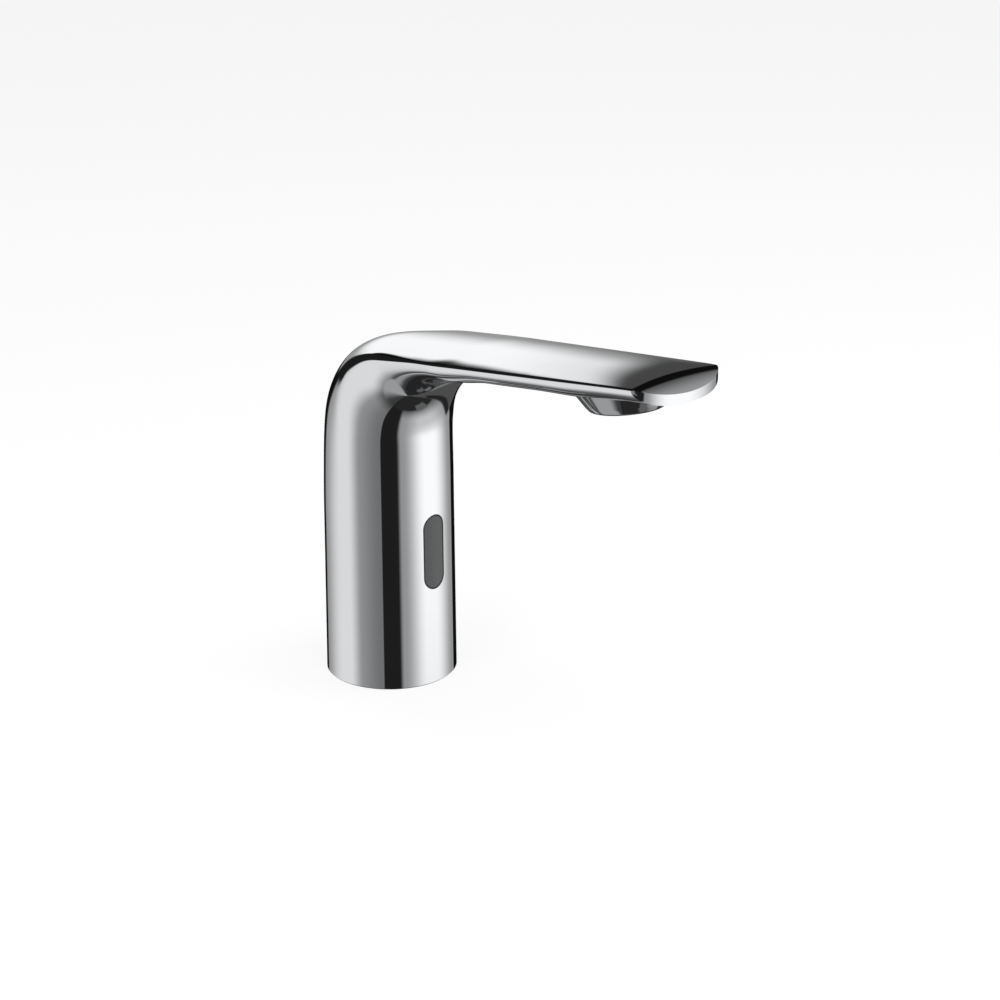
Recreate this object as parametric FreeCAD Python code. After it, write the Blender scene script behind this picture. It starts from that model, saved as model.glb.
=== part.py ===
import FreeCAD, Part
import math
import os

# Electronic basin tap. Millimetres, +Z up, origin at the centre of the base on the worktop,
# spout towards -Y. "Forward" distances are measured from the body axis towards -Y.
V = FreeCAD.Vector

# ---- outer form of the casting -------------------------------------------------------------
body_taper = 0.8        # body radius gained from the spout down to the worktop
base_edge = 0.4         # bevel round the lower rim
corner_fwd = 137.4      # axis to the two nose corners
corner_z = 142.5        # height of the spout's upper edge at the nose corners
rise_deg = 5.5          # rise of the spout above level
corner_half_w = 21.1    # half width of the spout at the nose corners
root_flare = 0.5        # spout's root wider than the body, each side
back_bend_r = 35.5      # bend of the back line into the top line
edge_bend_r = 22.0      # bend of the side edge line into the spout's edge line
inner_bend_r = 28.0     # concave corner between the body front and the spout's underside
root_depth = 9.5        # underside below the edge line at the root
mid_depth = 7.8         # the same half way along
boss_depth = 8.2        # the same in front of the outlet
tip_depth = 7.3         # the same at the nose
depth_run = 20.0        # length of the change from root to middle depth
boss_run = 26.0         # the middle depth ends this far behind the outlet
boss_half_run = 8.0     # the depth at the outlet holds this far each way
boss_run_out = 0.8      # and falls by this much over it
crown_root = 2.3        # top surface above the edge line at the root
crown_turn = 0.4        # share of the bend over which the round back becomes the flat crown
crown_tip = 1.0         # the same at the nose
hull_power = 2.5        # fullness of the underside (2 is an ellipse)
nose_bulge = 9.2        # how far the rounded nose reaches past its start
nose_back = 2.0         # start of the rounded nose behind the corners
nose_plan_power = 2.0   # roundness of the nose seen from above
nose_side_step = 0.22   # nose outline wider than the spout's side where they cross
bevel_fall = 0.51       # fall of the nose bevel per millimetre forward
bevel_roll_r = 1.6      # rounded break between top and bevel
bevel_lift = 0.3        # break of the bevel above the nose corners

# ---- outlet boss and aerator -----------------------------------------------------------------
boss_fwd = 117.2        # axis to the centre of the outlet rim
boss_z = 127.6          # height of the outlet rim's centre
boss_tilt_deg = 8.0     # outlet leans towards the user
boss_rim_r = 12.6       # outside radius of the rim
boss_rim_round = 1.3    # rounding of the rim
boss_cone_deg = 56.0    # slope of the boss side from level
boss_h = 9.0            # rim to the top of the boss cone, inside the spout
thread_r = 10.0         # bore for the concealed aerator, M20x1
thread_depth = 11.0     # depth of that bore
aerator_recess = 0.9    # aerator face above the rim
aerator_h = 8.6         # aerator housing height
aerator_wall = 2.3      # housing wall
aerator_slots = 8       # key notches round the housing
notch_wall = 0.8        # wall left outside each notch
catch = 0.8             # ledge that holds the mesh
catch_t = 0.6           # its thickness
slot_w = 2.2            # key notch width
slot_h = 1.6            # key notch height
mesh_t = 0.9            # outlet mesh thickness
mesh_pitch = 1.9        # mesh hole spacing
mesh_hole = 1.5         # mesh hole width
diffuser_t = 2.4        # diffuser disc thickness
diffuser_holes = 12     # jets in the diffuser
jet_r = 0.6             # jet radius
jet_ring = 0.6          # jets' circle over the disc's radius
skirt_t = 1.0           # diffuser's skirt
mesh_margin = 0.5       # solid edge round the mesh holes
washer_t = 1.2          # washer thickness
washer_w = 2.6          # washer ring width

# ---- body hollow -----------------------------------------------------------------------------
neck_wall = 2.6         # wall at the thinnest part of the body
hollow_top = 104.0      # top of the body's hollow
hollow_round = 3.0      # rounding under the top of the hollow
water_r = 3.1           # bore of the cast waterway
channel_w = 13.0        # width of the flat channel in the spout
channel_h = 4.8         # height of the flat channel
channel_drop = 3.4      # channel centre below the edge line
riser_end_fwd = 6.0     # where the sloping riser meets the channel
foot_seal_w = 1.4       # foot seal width
foot_seal_t = 1.0       # foot seal thickness

# ---- clearances -------------------------------------------------------------------------------
fit = 0.05              # radial clearance of a push or running fit
slip = 0.2              # clearance of parts that are only placed
seal_gap = 0.02         # clearance left round a rubber ring

# ---- base flange --------------------------------------------------------------------------------
flange_h = 12.0         # thickness of the base flange
stud_x = 10.5           # fixing stud hole from the axis
stud_r = 3.4            # M8 tapping radius
hose_r = 4.5            # M10x1 tapping radius
hose_depth = 9.0        # thread length for the hose end
filter_r = 4.2          # bore above that thread, for the strainer
flange_ring_z = 4.4     # height of the ring seal round the flange
ring_wire = 1.0         # section radius of that ring
lock_z = 8.2            # height of the locking screw
lock_r = 2.0            # M4 locking screw
lock_len = 5.0          # its length
lock_key = 2.0          # hexagon across flats
lock_key_depth = 2.0    # hexagon depth
lock_inset = 0.6        # end of the screw below the body surface

# ---- valve group ------------------------------------------------------------------------------
valve_y = -1.5          # valve axis behind (+) or in front (-) of the body axis
inlet_x = -6.6          # inlet axis
manifold_h = 10.0       # height of the manifold disc
cup_h = 12.0            # height of the valve cup on the manifold
cup_over = 0.5          # valve cup's radius over the bonnet's half width
chamber_r = 8.5         # water chamber round the seat
chamber_depth = 6.0     # depth of that chamber
seat_r = 4.8            # outside radius of the seat
outlet_bore = 3.2       # bore through the seat
cross_r = 2.4           # cross passage to the outlet tube
cross_z = 24.6          # height of the cross passage
feed_r = 1.7            # feed bore from the non-return valve to the chamber
diaphragm_t = 1.2       # diaphragm thickness
diaphragm_rim = 1.4     # diaphragm clamped outside the chamber
fold_edge = 0.3         # rolled fold clear of the chamber wall and of the plate
fold_floor = 0.6        # share of the thickness left under the fold
bleed_r = 0.3           # bleed hole
bleed_out = 1.0         # bleed hole outside the seat
carrier_gap = 2.1       # diaphragm plate inside the chamber wall
carrier_t = 2.2         # its thickness
carrier_travel = 1.5    # lift of the diaphragm plate
bonnet_margin = 2.0     # square bonnet outside the chamber, each side
seat_recess = 1.0       # guide tube's recess in the bonnet
bonnet_h = 6.4          # bonnet height
pilot_wall = 1.4        # wall between the chamber over the diaphragm and the plunger
pilot_r = 0.6           # pilot hole
bonnet_screw_in = 1.9   # bonnet screws inside its sides
small_screw_r = 1.25    # M2.5
small_head_r = 2.2
small_head_h = 1.4
small_screw_len = 12.0
tap_over = 1.0          # tapped holes deeper than their screws

# ---- solenoid ---------------------------------------------------------------------------------
plunger_r = 2.9         # moving core radius
plunger_h = 11.0        # moving core length
plunger_travel = 1.2    # lift of the moving core
plunger_seal_t = 1.0    # rubber tip
tip_share = 0.7         # rubber tip's radius over the core's
plunger_spring_r = 1.25  # spring's mean radius, wire radius and turns
plunger_wire = 0.2
plunger_turns = 6
spring_pocket_r = 1.7   # pocket for the spring in the moving core
spring_pocket = 6.0     # pocket depth
tube_wall = 0.4         # guide tube wall
core_h = 4.0            # fixed core length
core_head_h = 0.8       # its head above the bracket
bobbin_wall = 0.8       # bobbin wall
bobbin_r = 8.2          # bobbin flange radius
bobbin_flange = 1.2     # bobbin flange thickness
winding_inset = 0.4     # winding inside the flange edge
yoke_t = 1.4            # steel bracket thickness
yoke_w = 12.0           # steel bracket width
pin_r = 0.4             # coil pins
pin_x = 2.54            # coil pins either side of the middle

# ---- non-return valve and filter ----------------------------------------------------------------
check_r = 5.0           # cartridge radius
check_h = 8.6           # cartridge height
check_bore = 3.5        # cartridge bore
check_seat = 2.1        # seat opening
check_seat_t = 1.2      # seat thickness
poppet_r = 3.0          # poppet head
poppet_t = 1.2          # poppet head thickness
stem_r = 0.8            # poppet stem
poppet_travel = 2.0     # poppet lift
spider_t = 1.0          # stem guide thickness
spider_arm = 1.4        # width of the guide's arms
spider_hub = 0.8        # hub round the stem
root_bite = 0.1         # how far ribs run into the wall they grow from
stem_short = 0.3        # stem ends this far below the cartridge top
check_spring_r = 1.7    # spring's mean radius, wire radius and turns
check_wire = 0.25
check_turns = 4
filter_t = 0.5          # filter wall
filter_h = 2.4          # filter height
filter_pitch = 1.3      # filter hole spacing
filter_hole = 0.8       # filter hole width

# ---- outlet tube -------------------------------------------------------------------------------
tube_r = 4.0
tower_gap = 0.1         # socket boss inside the frame's outline
tube_bore = 3.0
collar_r = 4.9          # ends with ring grooves
collar_h = 5.6
socket_h = 6.0          # depth of each socket
tower_r = 7.0           # boss round the lower socket
groove_w = 1.3
groove_depth = 1.05
groove_pitch = 2.5
tube_ring_wire = 0.52   # section radius of the tube's rings

# ---- inner frame --------------------------------------------------------------------------------
frame_wall = 1.8        # curved side walls
frame_foot = 2.0        # foot plate
frame_slip = 0.4        # frame inside the body
tray_z = 62.0           # underside of the battery tray
tray_t = 2.4
front_gap_half = 7.4    # opening for the sensor
rear_gap_half = 8.0     # opening for the tube
ledge_t = 2.4           # ledge under the sensor
frame_screw_r = 1.5     # M3
screw_to_cup = 1.0      # frame screw heads clear of the valve cup
screw_to_edge = 4.9     # frame screws inside the frame's outline
frame_screw_angles = (30.0, 150.0, 270.0)
frame_head_r = 2.7
frame_head_h = 2.0
frame_screw_in = 8.0    # length in the flange

# ---- sensor -----------------------------------------------------------------------------------
window_z = 52.3         # centre of the window
window_half_w = 5.1     # visible half width
window_half_h = 14.6    # visible half height
window_seal_w = 0.6     # rubber line round the window
window_sink = 0.12      # window face below the body surface
window_in = 0.6         # back of the window inside the casting's bore
house_in = 0.8          # front of the sensor housing inside the same bore
house_back = 12.6       # back of it
house_half_w = 7.0
house_half_h = 16.0
house_wall = 1.0
cover_t = 1.2
board_t = 1.2
diode_r = 2.5
diode_len = 5.4
diode_offset = 8.5      # diodes above and below the window's centre
chip_size = 5.0
chip_t = 1.0
sensor_screw_r = 1.0    # M2
sensor_screw_x = 4.6
sensor_screw_len = 6.0
sensor_head_r = 1.9
sensor_head_h = 1.2
sensor_tap_over = 0.5   # tapped holes deeper than their screws

# ---- battery ----------------------------------------------------------------------------------
cell_w = 35.0           # 6 V lithium block, width
cell_d = 19.5           # depth
cell_h = 36.0           # height
cell_round = 4.5
cell_gap = 2.25         # battery in front of the tube
cell_room = 0.8         # strap clear of the casting's bore
holder_wall = 1.2
holder_floor = 0.8
holder_h = 30.0
contact_t = 0.7
contact_w = 5.0
contact_len = 9.0
contact_x = 8.0
strap_w = 8.0
strap_t = 0.8
strap_leg = 12.0
lead_r = 0.8
lead_x = 5.4
lead_back = 2.2         # lead's drop behind the sensor's cover
lead_z = 58.4
lead_bend = 0.45        # bend radius over the run to the cover

# ---- worked out from the values above ----------------------------------------------------------
rise = math.radians(rise_deg)
bonnet_half = chamber_r + bonnet_margin
bonnet_screw_xy = bonnet_half - bonnet_screw_in
cup_r = bonnet_half + cup_over
carrier_r = chamber_r - carrier_gap
frame_screw_pcr = cup_r - valve_y + screw_to_cup + frame_head_r
strap_half = cell_w / 2.0 + slip + holder_wall + fit
hollow_r = max(frame_screw_pcr + screw_to_edge + frame_slip, strap_half + strap_t + cell_room)
frame_r = hollow_r - frame_slip
neck_r = hollow_r + neck_wall
base_r = neck_r + body_taper
root_half_w = neck_r + root_flare
foot_seal_r = (base_r + hollow_r) / 2.0
tube_y = frame_r - tower_r - tower_gap
cell_y = tube_y - tube_r - cell_gap - cell_d / 2.0
window_back = hollow_r - window_in
house_front = hollow_r - house_in
lead_y = lead_back - house_back
manifold_z = flange_h
manifold_top = manifold_z + manifold_h
cup_top = manifold_top + cup_h
diaphragm_top = cup_top + diaphragm_t
bonnet_top = diaphragm_top + bonnet_h
pilot_z = bonnet_top - seat_recess              # floor of the plunger's recess in the bonnet
chamber_over = pilot_z - pilot_wall             # top of the chamber over the diaphragm
plunger_z = pilot_z + fit + plunger_seal_t
plunger_top = plunger_z + plunger_h
core_z = plunger_top + plunger_travel
core_top = core_z + core_h
guide_r = plunger_r + fit
bobbin_z = bonnet_top + yoke_t
bobbin_top = core_top
tube_low = cup_top - socket_h
tube_top = hollow_top + socket_h - slip
tray_top = tray_z + tray_t
house_low = window_z - house_half_h
cell_z = tray_top + holder_floor + contact_t
cell_top = cell_z + cell_h


def cyl(r, z0, z1, x=0.0, y=0.0):
    """Upright cylinder between two heights."""
    return Part.makeCylinder(r, z1 - z0, V(x, y, z0))


def ring(r_out, r_in, z0, z1, x=0.0, y=0.0):
    """Upright tube between two heights."""
    return cyl(r_out, z0, z1, x, y).cut(cyl(r_in, z0 - 1.0, z1 + 1.0, x, y))


def box(x0, x1, y0, y1, z0, z1):
    """Block between two corners."""
    return Part.makeBox(x1 - x0, y1 - y0, z1 - z0, V(x0, y0, z0))


def join(shapes):
    """Several touching shapes as one solid."""
    shapes = list(shapes)
    return shapes[0].fuse(shapes[1:]).removeSplitter() if len(shapes) > 1 else shapes[0]


def y_cyl(r, y0, y1, x, z):
    """Cylinder along Y."""
    return Part.makeCylinder(r, y1 - y0, V(x, y0, z), V(0, 1, 0))


def screw_upright(x, y, z_under_head, length, shank, head, head_h, up=1.0):
    """Cap screw with a cross slot; up is +1 with the head on top."""
    body = Part.makeCylinder(shank, length, V(x, y, z_under_head), V(0, 0, -up))
    cap = Part.makeCylinder(head, head_h, V(x, y, z_under_head), V(0, 0, up))
    half = head * 0.62
    depth = head_h * 0.5
    top = z_under_head + up * head_h
    low, high = sorted((top - up * depth, top + up))
    slot_a = box(x - half, x + half, y - 0.2 * head, y + 0.2 * head, low, high)
    slot_b = box(x - 0.2 * head, x + 0.2 * head, y - half, y + half, low, high)
    return body.fuse(cap).removeSplitter().cut(slot_a.fuse(slot_b))


def coil_spring(radius, wire, z0, z1, turns, x, y):
    """Compression spring: one round wire on arcs of a quarter turn, ends inside z0 and z1."""
    steps = 4 * turns
    low = z0 + wire
    pitch = (z1 - z0 - 2.0 * wire) / steps

    def at(q):
        a = q * math.pi / 2.0
        return V(x + radius * math.cos(a), y + radius * math.sin(a), low + pitch * q)

    edges = [Part.Arc(at(i), at(i + 0.5), at(i + 1)).toShape() for i in range(steps)]
    path = Part.Wire(edges)
    start = Part.Wire([Part.Circle(at(0), V(0, 1, 0), wire).toShape()])
    return path.makePipeShell([start], True, False)


# ---- outer form ---------------------------------------------------------------------------------
def body_radius(z):
    """Radius of the slightly tapered body."""
    return base_r + (neck_r - base_r) * min(z / inner_corner()[1], 1.0)


def edge_z(fwd):
    """Height of the spout's straight upper edge at a forward distance."""
    return corner_z - (corner_fwd - fwd) * math.tan(rise)


def inner_corner():
    """Centre (forward, height) of the concave corner, about which the sections turn."""
    fwd = neck_r + inner_bend_r
    return fwd, edge_z(fwd) - root_depth / math.cos(rise) - inner_bend_r


def bend_centre(radius, start_fwd, lift):
    """Centre of the arc from an upright line at start_fwd to the edge line raised by lift."""
    fwd = start_fwd + radius
    return fwd, edge_z(fwd - radius * math.sin(rise)) + lift - radius * math.cos(rise)


def ray_to_guide(origin, ray, radius, start_fwd, lift):
    """Distance along a ray to a guide made of an upright line, an arc and the raised edge line."""
    cf, cz = bend_centre(radius, start_fwd, lift)
    across = ray[1] - math.tan(rise) * ray[0]
    if abs(across) > 1e-9:
        t = (edge_z(origin[0]) + lift - origin[1]) / across
        if t > 0 and origin[0] + t * ray[0] >= cf - radius * math.sin(rise) - 1e-9:
            return t
    df, dz = origin[0] - cf, origin[1] - cz
    half = df * ray[0] + dz * ray[1]
    inside = half * half - (df * df + dz * dz - radius * radius)
    if inside > 0:
        t = math.sqrt(inside) - half
        if origin[1] + t * ray[1] >= cz - 1e-9:
            return t
    return (start_fwd - origin[0]) / ray[0]


def section(fwd, z, ray, half_w, top_h, top_power, low_h, low_power):
    """Closed section through an edge point: a crown above the edge line, a hull below it."""
    def place(x, n):
        return V(x, -(fwd + n * ray[0]), z + n * ray[1])

    top, low = [], []
    count = 14
    for i in range(count + 1):
        a = math.pi * i / count
        c, s = math.cos(a), math.sin(a) if 0 < i < count else 0.0
        top.append(place(half_w * c, top_h * s ** top_power))
        k = (abs(c) ** low_power + s ** low_power) ** (1.0 / low_power)
        low.append(place(half_w * c / k, -low_h * s / k))
    edges = []
    for points in (top, low):
        curve = Part.BSplineCurve()
        curve.interpolate(points)
        edges.append(curve.toShape())
    return Part.Wire(edges)


def blend(value, knots):
    """Smooth value between (position, value) knots."""
    if value <= knots[0][0]:
        return knots[0][1]
    for (a, va), (b, vb) in zip(knots, knots[1:]):
        if value <= b:
            t = (value - a) / (b - a)
            return va + (vb - va) * t * t * (3.0 - 2.0 * t)
    return knots[-1][1]


def outer_sections():
    """Sections up the body, round the bend and along the spout."""
    cf, cz = inner_corner()
    lift = crown_root / math.cos(rise)
    found = []
    levels = 7
    for i in range(levels):
        z = cz * i / levels
        r = body_radius(z)
        back = ray_to_guide((r, z), (-1.0, 0.0), back_bend_r, -r, lift)
        front = ray_to_guide((r, z), (-1.0, 0.0), edge_bend_r, 0.0, 0.0)
        found.append(section(r - front, z, (-1.0, 0.0), r, back - front, 1.0, front, 2.0))
    turns = 12
    for i in range(turns + 1):
        share = i / turns
        a = share * (math.pi / 2.0 - rise)
        ray = (-math.cos(a), math.sin(a))
        edge = ray_to_guide((cf, cz), ray, edge_bend_r, 0.0, 0.0)
        back = ray_to_guide((cf, cz), ray, back_bend_r, -neck_r, lift)
        half_w = neck_r + (root_half_w - neck_r) * share
        found.append(section(cf + edge * ray[0], cz + edge * ray[1], ray, half_w, back - edge,
                             1.0 + blend(share, ((0.0, 0.0), (crown_turn, 1.0))),
                             edge - inner_bend_r,
                             2.0 + (hull_power - 2.0) * share))
    root_fwd = cf + edge * ray[0]
    tip_fwd = corner_fwd + nose_bulge - nose_back
    depth_knots = ((root_fwd, root_depth), (root_fwd + depth_run, mid_depth),
                   (boss_fwd - boss_run, mid_depth), (boss_fwd - boss_half_run, boss_depth),
                   (boss_fwd + boss_half_run, boss_depth - boss_run_out), (tip_fwd, tip_depth))
    ray = (-math.sin(rise), math.cos(rise))
    last = corner_fwd + 1.65 * nose_bulge
    steps = 12
    for i in range(1, steps + 1):
        fwd = root_fwd + (last - root_fwd) * i / steps
        share = (fwd - root_fwd) / (corner_fwd - root_fwd)
        half_w = root_half_w + (corner_half_w - root_half_w) * share
        crown = crown_root + (crown_tip - crown_root) * min(share, 1.0)
        found.append(section(fwd, edge_z(fwd), ray, half_w, crown, 2.0,
                             blend(fwd, depth_knots), hull_power))
    return found


def nose_cutter():
    """Everything in front of the rounded nose outline."""
    start = corner_fwd - nose_back
    half_w = corner_half_w + nose_side_step
    points = []
    count = 16
    for i in range(count + 1):
        a = math.pi * i / count
        c, s = math.cos(a), math.sin(a) if 0 < i < count else 0.0
        x = math.copysign(half_w * abs(c) ** (2.0 / nose_plan_power), c)
        points.append(V(x, -start - nose_bulge * s ** (2.0 / nose_plan_power), 0.0))
    curve = Part.BSplineCurve()
    curve.interpolate(points)
    side = 2.0 * half_w
    ahead = -start - 3.0 * nose_bulge
    rest = Part.makePolygon([points[-1], V(-side, -start, 0), V(-side, ahead, 0), V(side, ahead, 0),
                             V(side, -start, 0), points[0]])
    face = Part.Face(Part.Wire([curve.toShape()] + rest.Edges))
    return face.extrude(V(0, 0, 2.0 * corner_z))


def bevel_cutter():
    """Wedge above the nose bevel, rolled into the top surface along its back edge."""
    fall = math.atan(bevel_fall)
    turn = fall + rise
    back = bevel_roll_r * math.tan(turn / 2.0)
    far = 3.0 * nose_bulge
    break_z = corner_z + bevel_lift

    def at(fwd, z):
        return V(-2.0 * corner_half_w, -fwd, z)

    start = at(corner_fwd - back * math.cos(rise), break_z - back * math.sin(rise))
    end = at(corner_fwd + back * math.cos(fall), break_z - back * math.sin(fall))
    over = crown_tip
    begin = at(corner_fwd - (back + over) * math.cos(rise),
               break_z - (back + over) * math.sin(rise) + over)
    centre_f = corner_fwd - back * math.cos(rise) + bevel_roll_r * math.sin(rise)
    centre_z = break_z - back * math.sin(rise) - bevel_roll_r * math.cos(rise)
    mid_a = (fall - rise) / 2.0
    middle = at(centre_f + bevel_roll_r * math.sin(mid_a), centre_z + bevel_roll_r * math.cos(mid_a))
    tip = at(corner_fwd + far * math.cos(fall), break_z - far * math.sin(fall))
    above = V(tip.x, tip.y, tip.z + 2.0 * far)
    above_back = V(begin.x, begin.y, begin.z + 2.0 * far)
    edges = [Part.LineSegment(begin, start).toShape(), Part.Arc(start, middle, end).toShape()]
    edges += Part.makePolygon([end, tip, above, above_back, begin]).Edges
    return Part.Face(Part.Wire(edges)).extrude(V(4.0 * corner_half_w, 0, 0))


def at_outlet(shape):
    """A shape drawn upright on the rim's centre, moved and tilted to the outlet."""
    turn = FreeCAD.Rotation(V(1, 0, 0), -boss_tilt_deg)
    shape.Placement = FreeCAD.Placement(V(0, -boss_fwd, boss_z), turn)
    return shape


def outlet_boss():
    """Flared boss that carries the aerator."""
    flare = boss_h / math.tan(math.radians(boss_cone_deg))
    cone = Part.makeCone(boss_rim_r, boss_rim_r + flare, boss_h)
    rim = [e for e in cone.Edges if abs(e.BoundBox.ZMax) < 1e-6]
    return at_outlet(cone.makeFillet(boss_rim_round, rim))


def waterway():
    """Riser from the tube socket and flat channel along the spout."""
    low = V(0, tube_y, hollow_top + socket_h)
    turn_z = edge_z(riser_end_fwd) - channel_drop / math.cos(rise)
    turn = V(0, -riser_end_fwd, turn_z)
    along = V(0, -math.cos(rise), math.sin(rise))
    length = (boss_fwd - riser_end_fwd) / math.cos(rise)
    riser = Part.makeCylinder(water_r, (turn - low).Length, low, turn - low)
    joints = [Part.makeSphere(water_r, low), Part.makeSphere(water_r, turn)]
    flat = channel_w / 2.0 - channel_h / 2.0
    side = V(1, 0, 0)
    up = side.cross(along)
    half = up * (channel_h / 2.0)
    a, b = turn + side * flat, turn - side * flat
    outline = [Part.LineSegment(a + half, b + half).toShape(),
               Part.Arc(b + half, b - side * (channel_h / 2.0), b - half).toShape(),
               Part.LineSegment(b - half, a - half).toShape(),
               Part.Arc(a - half, a + side * (channel_h / 2.0), a + half).toShape()]
    channel = Part.Face(Part.Wire(outline)).extrude(along * length)
    return join([riser, channel] + joints)


def window_prism(grow, y0, y1):
    """Upright slot shape of the sensor window, grown by a margin, between two Y values."""
    r = window_half_w + grow
    rise_half = window_half_h - window_half_w
    parts = [y_cyl(r, y0, y1, 0, window_z - rise_half), y_cyl(r, y0, y1, 0, window_z + rise_half),
             box(-r, r, y0, y1, window_z - rise_half, window_z + rise_half)]
    return join(parts)


def tapered_body(shrink, z0, z1):
    """The tapered body as a plain cone, set in by a margin."""
    return Part.makeCone(body_radius(z0) - shrink, body_radius(z1) - shrink, z1 - z0, V(0, 0, z0))


def body_casting():
    """Body and spout in one casting, hollow, with waterway, outlet, window and socket."""
    outer = Part.makeLoft(outer_sections(), True, False)
    outer = outer.fuse(outlet_boss())
    outer = outer.cut(nose_cutter())
    outer = outer.cut(bevel_cutter())
    rim = cyl(base_r + 1.0, -1.0, base_edge)
    rim = rim.cut(Part.makeCone(base_r - 2.0 * base_edge, base_r, 2.0 * base_edge, V(0, 0, -base_edge)))
    outer = outer.cut(rim)
    hollow = cyl(hollow_r, -1.0, hollow_top)
    top_edges = [e for e in hollow.Edges if e.BoundBox.ZMin > hollow_top - 0.01]
    hollow = hollow.makeFillet(hollow_round, top_edges)
    socket = cyl(collar_r + fit, hollow_top - 1.0, hollow_top + socket_h, 0, tube_y)
    bore = at_outlet(cyl(thread_r, -1.0, thread_depth))
    slot = window_prism(0.0, -base_r - 1.0, -house_back)
    lock = y_cyl(lock_r, hollow_r - 1.0, base_r + 1.0, 0, lock_z)
    groove = ring(foot_seal_r + foot_seal_w / 2.0, foot_seal_r - foot_seal_w / 2.0, -1.0, foot_seal_t)
    return outer.cut([join([hollow, socket, waterway(), bore]), slot, lock, groove])


# ---- pieces ------------------------------------------------------------------------------------
def foot_seal():
    half = foot_seal_w / 2.0 - seal_gap
    return ring(foot_seal_r + half, foot_seal_r - half, 0.0, foot_seal_t - seal_gap)


def base_flange():
    disc = cyl(hollow_r - slip, 0.0, flange_h)
    half = ring_wire + slip / 2.0
    groove = ring(hollow_r + 1.0, flange_groove_r(), flange_ring_z - half, flange_ring_z + half)
    stud = cyl(stud_r, -1.0, flange_h + 1.0, stud_x, 0)
    hose = cyl(hose_r, -1.0, hose_depth, inlet_x, valve_y).fuse(
        cyl(filter_r, hose_depth - 1.0, flange_h + 1.0, inlet_x, valve_y))
    taps = [cyl(frame_screw_r, flange_h - frame_screw_in, flange_h + 1.0, x, y)
            for x, y in frame_screw_places()]
    dimple = y_cyl(lock_r + slip, lock_tip(), hollow_r + 1.0, 0, lock_z)
    return disc.cut([groove, stud, hose, dimple] + taps)


def flange_groove_r():
    """Floor radius of the groove for the flange's ring."""
    return hollow_r - 2.0 * ring_wire - 2.0 * seal_gap


def flange_ring():
    torus = Part.makeTorus(hollow_r - seal_gap - ring_wire, ring_wire)
    torus.translate(V(0, 0, flange_ring_z))
    return torus


def lock_tip():
    """Y of the locking screw's inner end."""
    return body_radius(lock_z) - lock_inset - lock_len


def lock_screw():
    outer = body_radius(lock_z) - lock_inset
    screw = y_cyl(lock_r - seal_gap, lock_tip() + seal_gap, outer, 0, lock_z)
    key_r = lock_key / 2.0 / math.cos(math.radians(30))
    corners = [V(key_r * math.cos(math.radians(60 * i)), outer - lock_key_depth,
                 lock_z + key_r * math.sin(math.radians(60 * i))) for i in range(6)]
    key = Part.Face(Part.makePolygon(corners + corners[:1])).extrude(V(0, lock_key_depth + 1.0, 0))
    return screw.cut(key)


def frame_screw_places():
    """Centres of the screws that hold frame and manifold to the flange."""
    return [(frame_screw_pcr * math.cos(math.radians(a)), frame_screw_pcr * math.sin(math.radians(a)))
            for a in frame_screw_angles]


def valve_body():
    disc = cyl(frame_r, manifold_z, manifold_top)
    cup = cyl(cup_r, manifold_z, cup_top, 0, valve_y)
    corners = box(-bonnet_half, bonnet_half, valve_y - bonnet_half, valve_y + bonnet_half,
                  manifold_top - 1.0, cup_top)
    tower = cyl(tower_r, manifold_z, cup_top, 0, tube_y)
    solid = join([disc, cup, corners, tower])
    chamber = ring(chamber_r, seat_r, cup_top - chamber_depth, cup_top + 1.0, 0, valve_y)
    outlet = cyl(outlet_bore, cross_z, cup_top + 1.0, 0, valve_y)
    cross = y_cyl(cross_r, valve_y, tube_y, 0, cross_z)
    rise_bore = cyl(tube_bore, cross_z, tube_low + 1.0, 0, tube_y)
    socket = cyl(collar_r + fit, tube_low, cup_top + 1.0, 0, tube_y)
    check = cyl(check_r + fit, manifold_z - 1.0, manifold_z + check_h + slip, inlet_x, valve_y)
    feed = cyl(feed_r, manifold_z + check_h, cup_top - chamber_depth + 1.0, inlet_x, valve_y)
    holes = [cyl(frame_screw_r + slip, manifold_z - 1.0, manifold_top + 1.0, x, y)
             for x, y in frame_screw_places()]
    taps = [cyl(small_screw_r, cup_top - small_screw_len + bonnet_h + diaphragm_t, cup_top + 1.0, x, y)
            for x, y in bonnet_screw_places()]
    return solid.cut([chamber, outlet, cross, rise_bore, socket, check, feed] + holes + taps)


def bonnet_screw_places():
    """Centres of the four bonnet screws."""
    return [(sx * bonnet_screw_xy, valve_y + sy * bonnet_screw_xy)
            for sx in (-1, 1) for sy in (-1, 1)]


def diaphragm():
    """Rubber disc under the bonnet, with a rolled ring between rim and centre."""
    flat = cyl(chamber_r + diaphragm_rim, cup_top, diaphragm_top, 0, valve_y)
    groove = ring(chamber_r - fold_edge, carrier_r + fold_edge, cup_top + diaphragm_t * fold_floor,
                  diaphragm_top + 1.0, 0, valve_y)
    bleed = cyl(bleed_r, cup_top - 1.0, diaphragm_top + 1.0, seat_r + bleed_out, valve_y)
    return flat.cut([groove, bleed])


def diaphragm_plate():
    plate = cyl(carrier_r, diaphragm_top, diaphragm_top + carrier_t, 0, valve_y)
    relief = cyl(carrier_r / 2.0, diaphragm_top + carrier_t / 2.0, diaphragm_top + carrier_t + 1.0,
                 0, valve_y)
    return plate.cut(relief)


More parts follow.
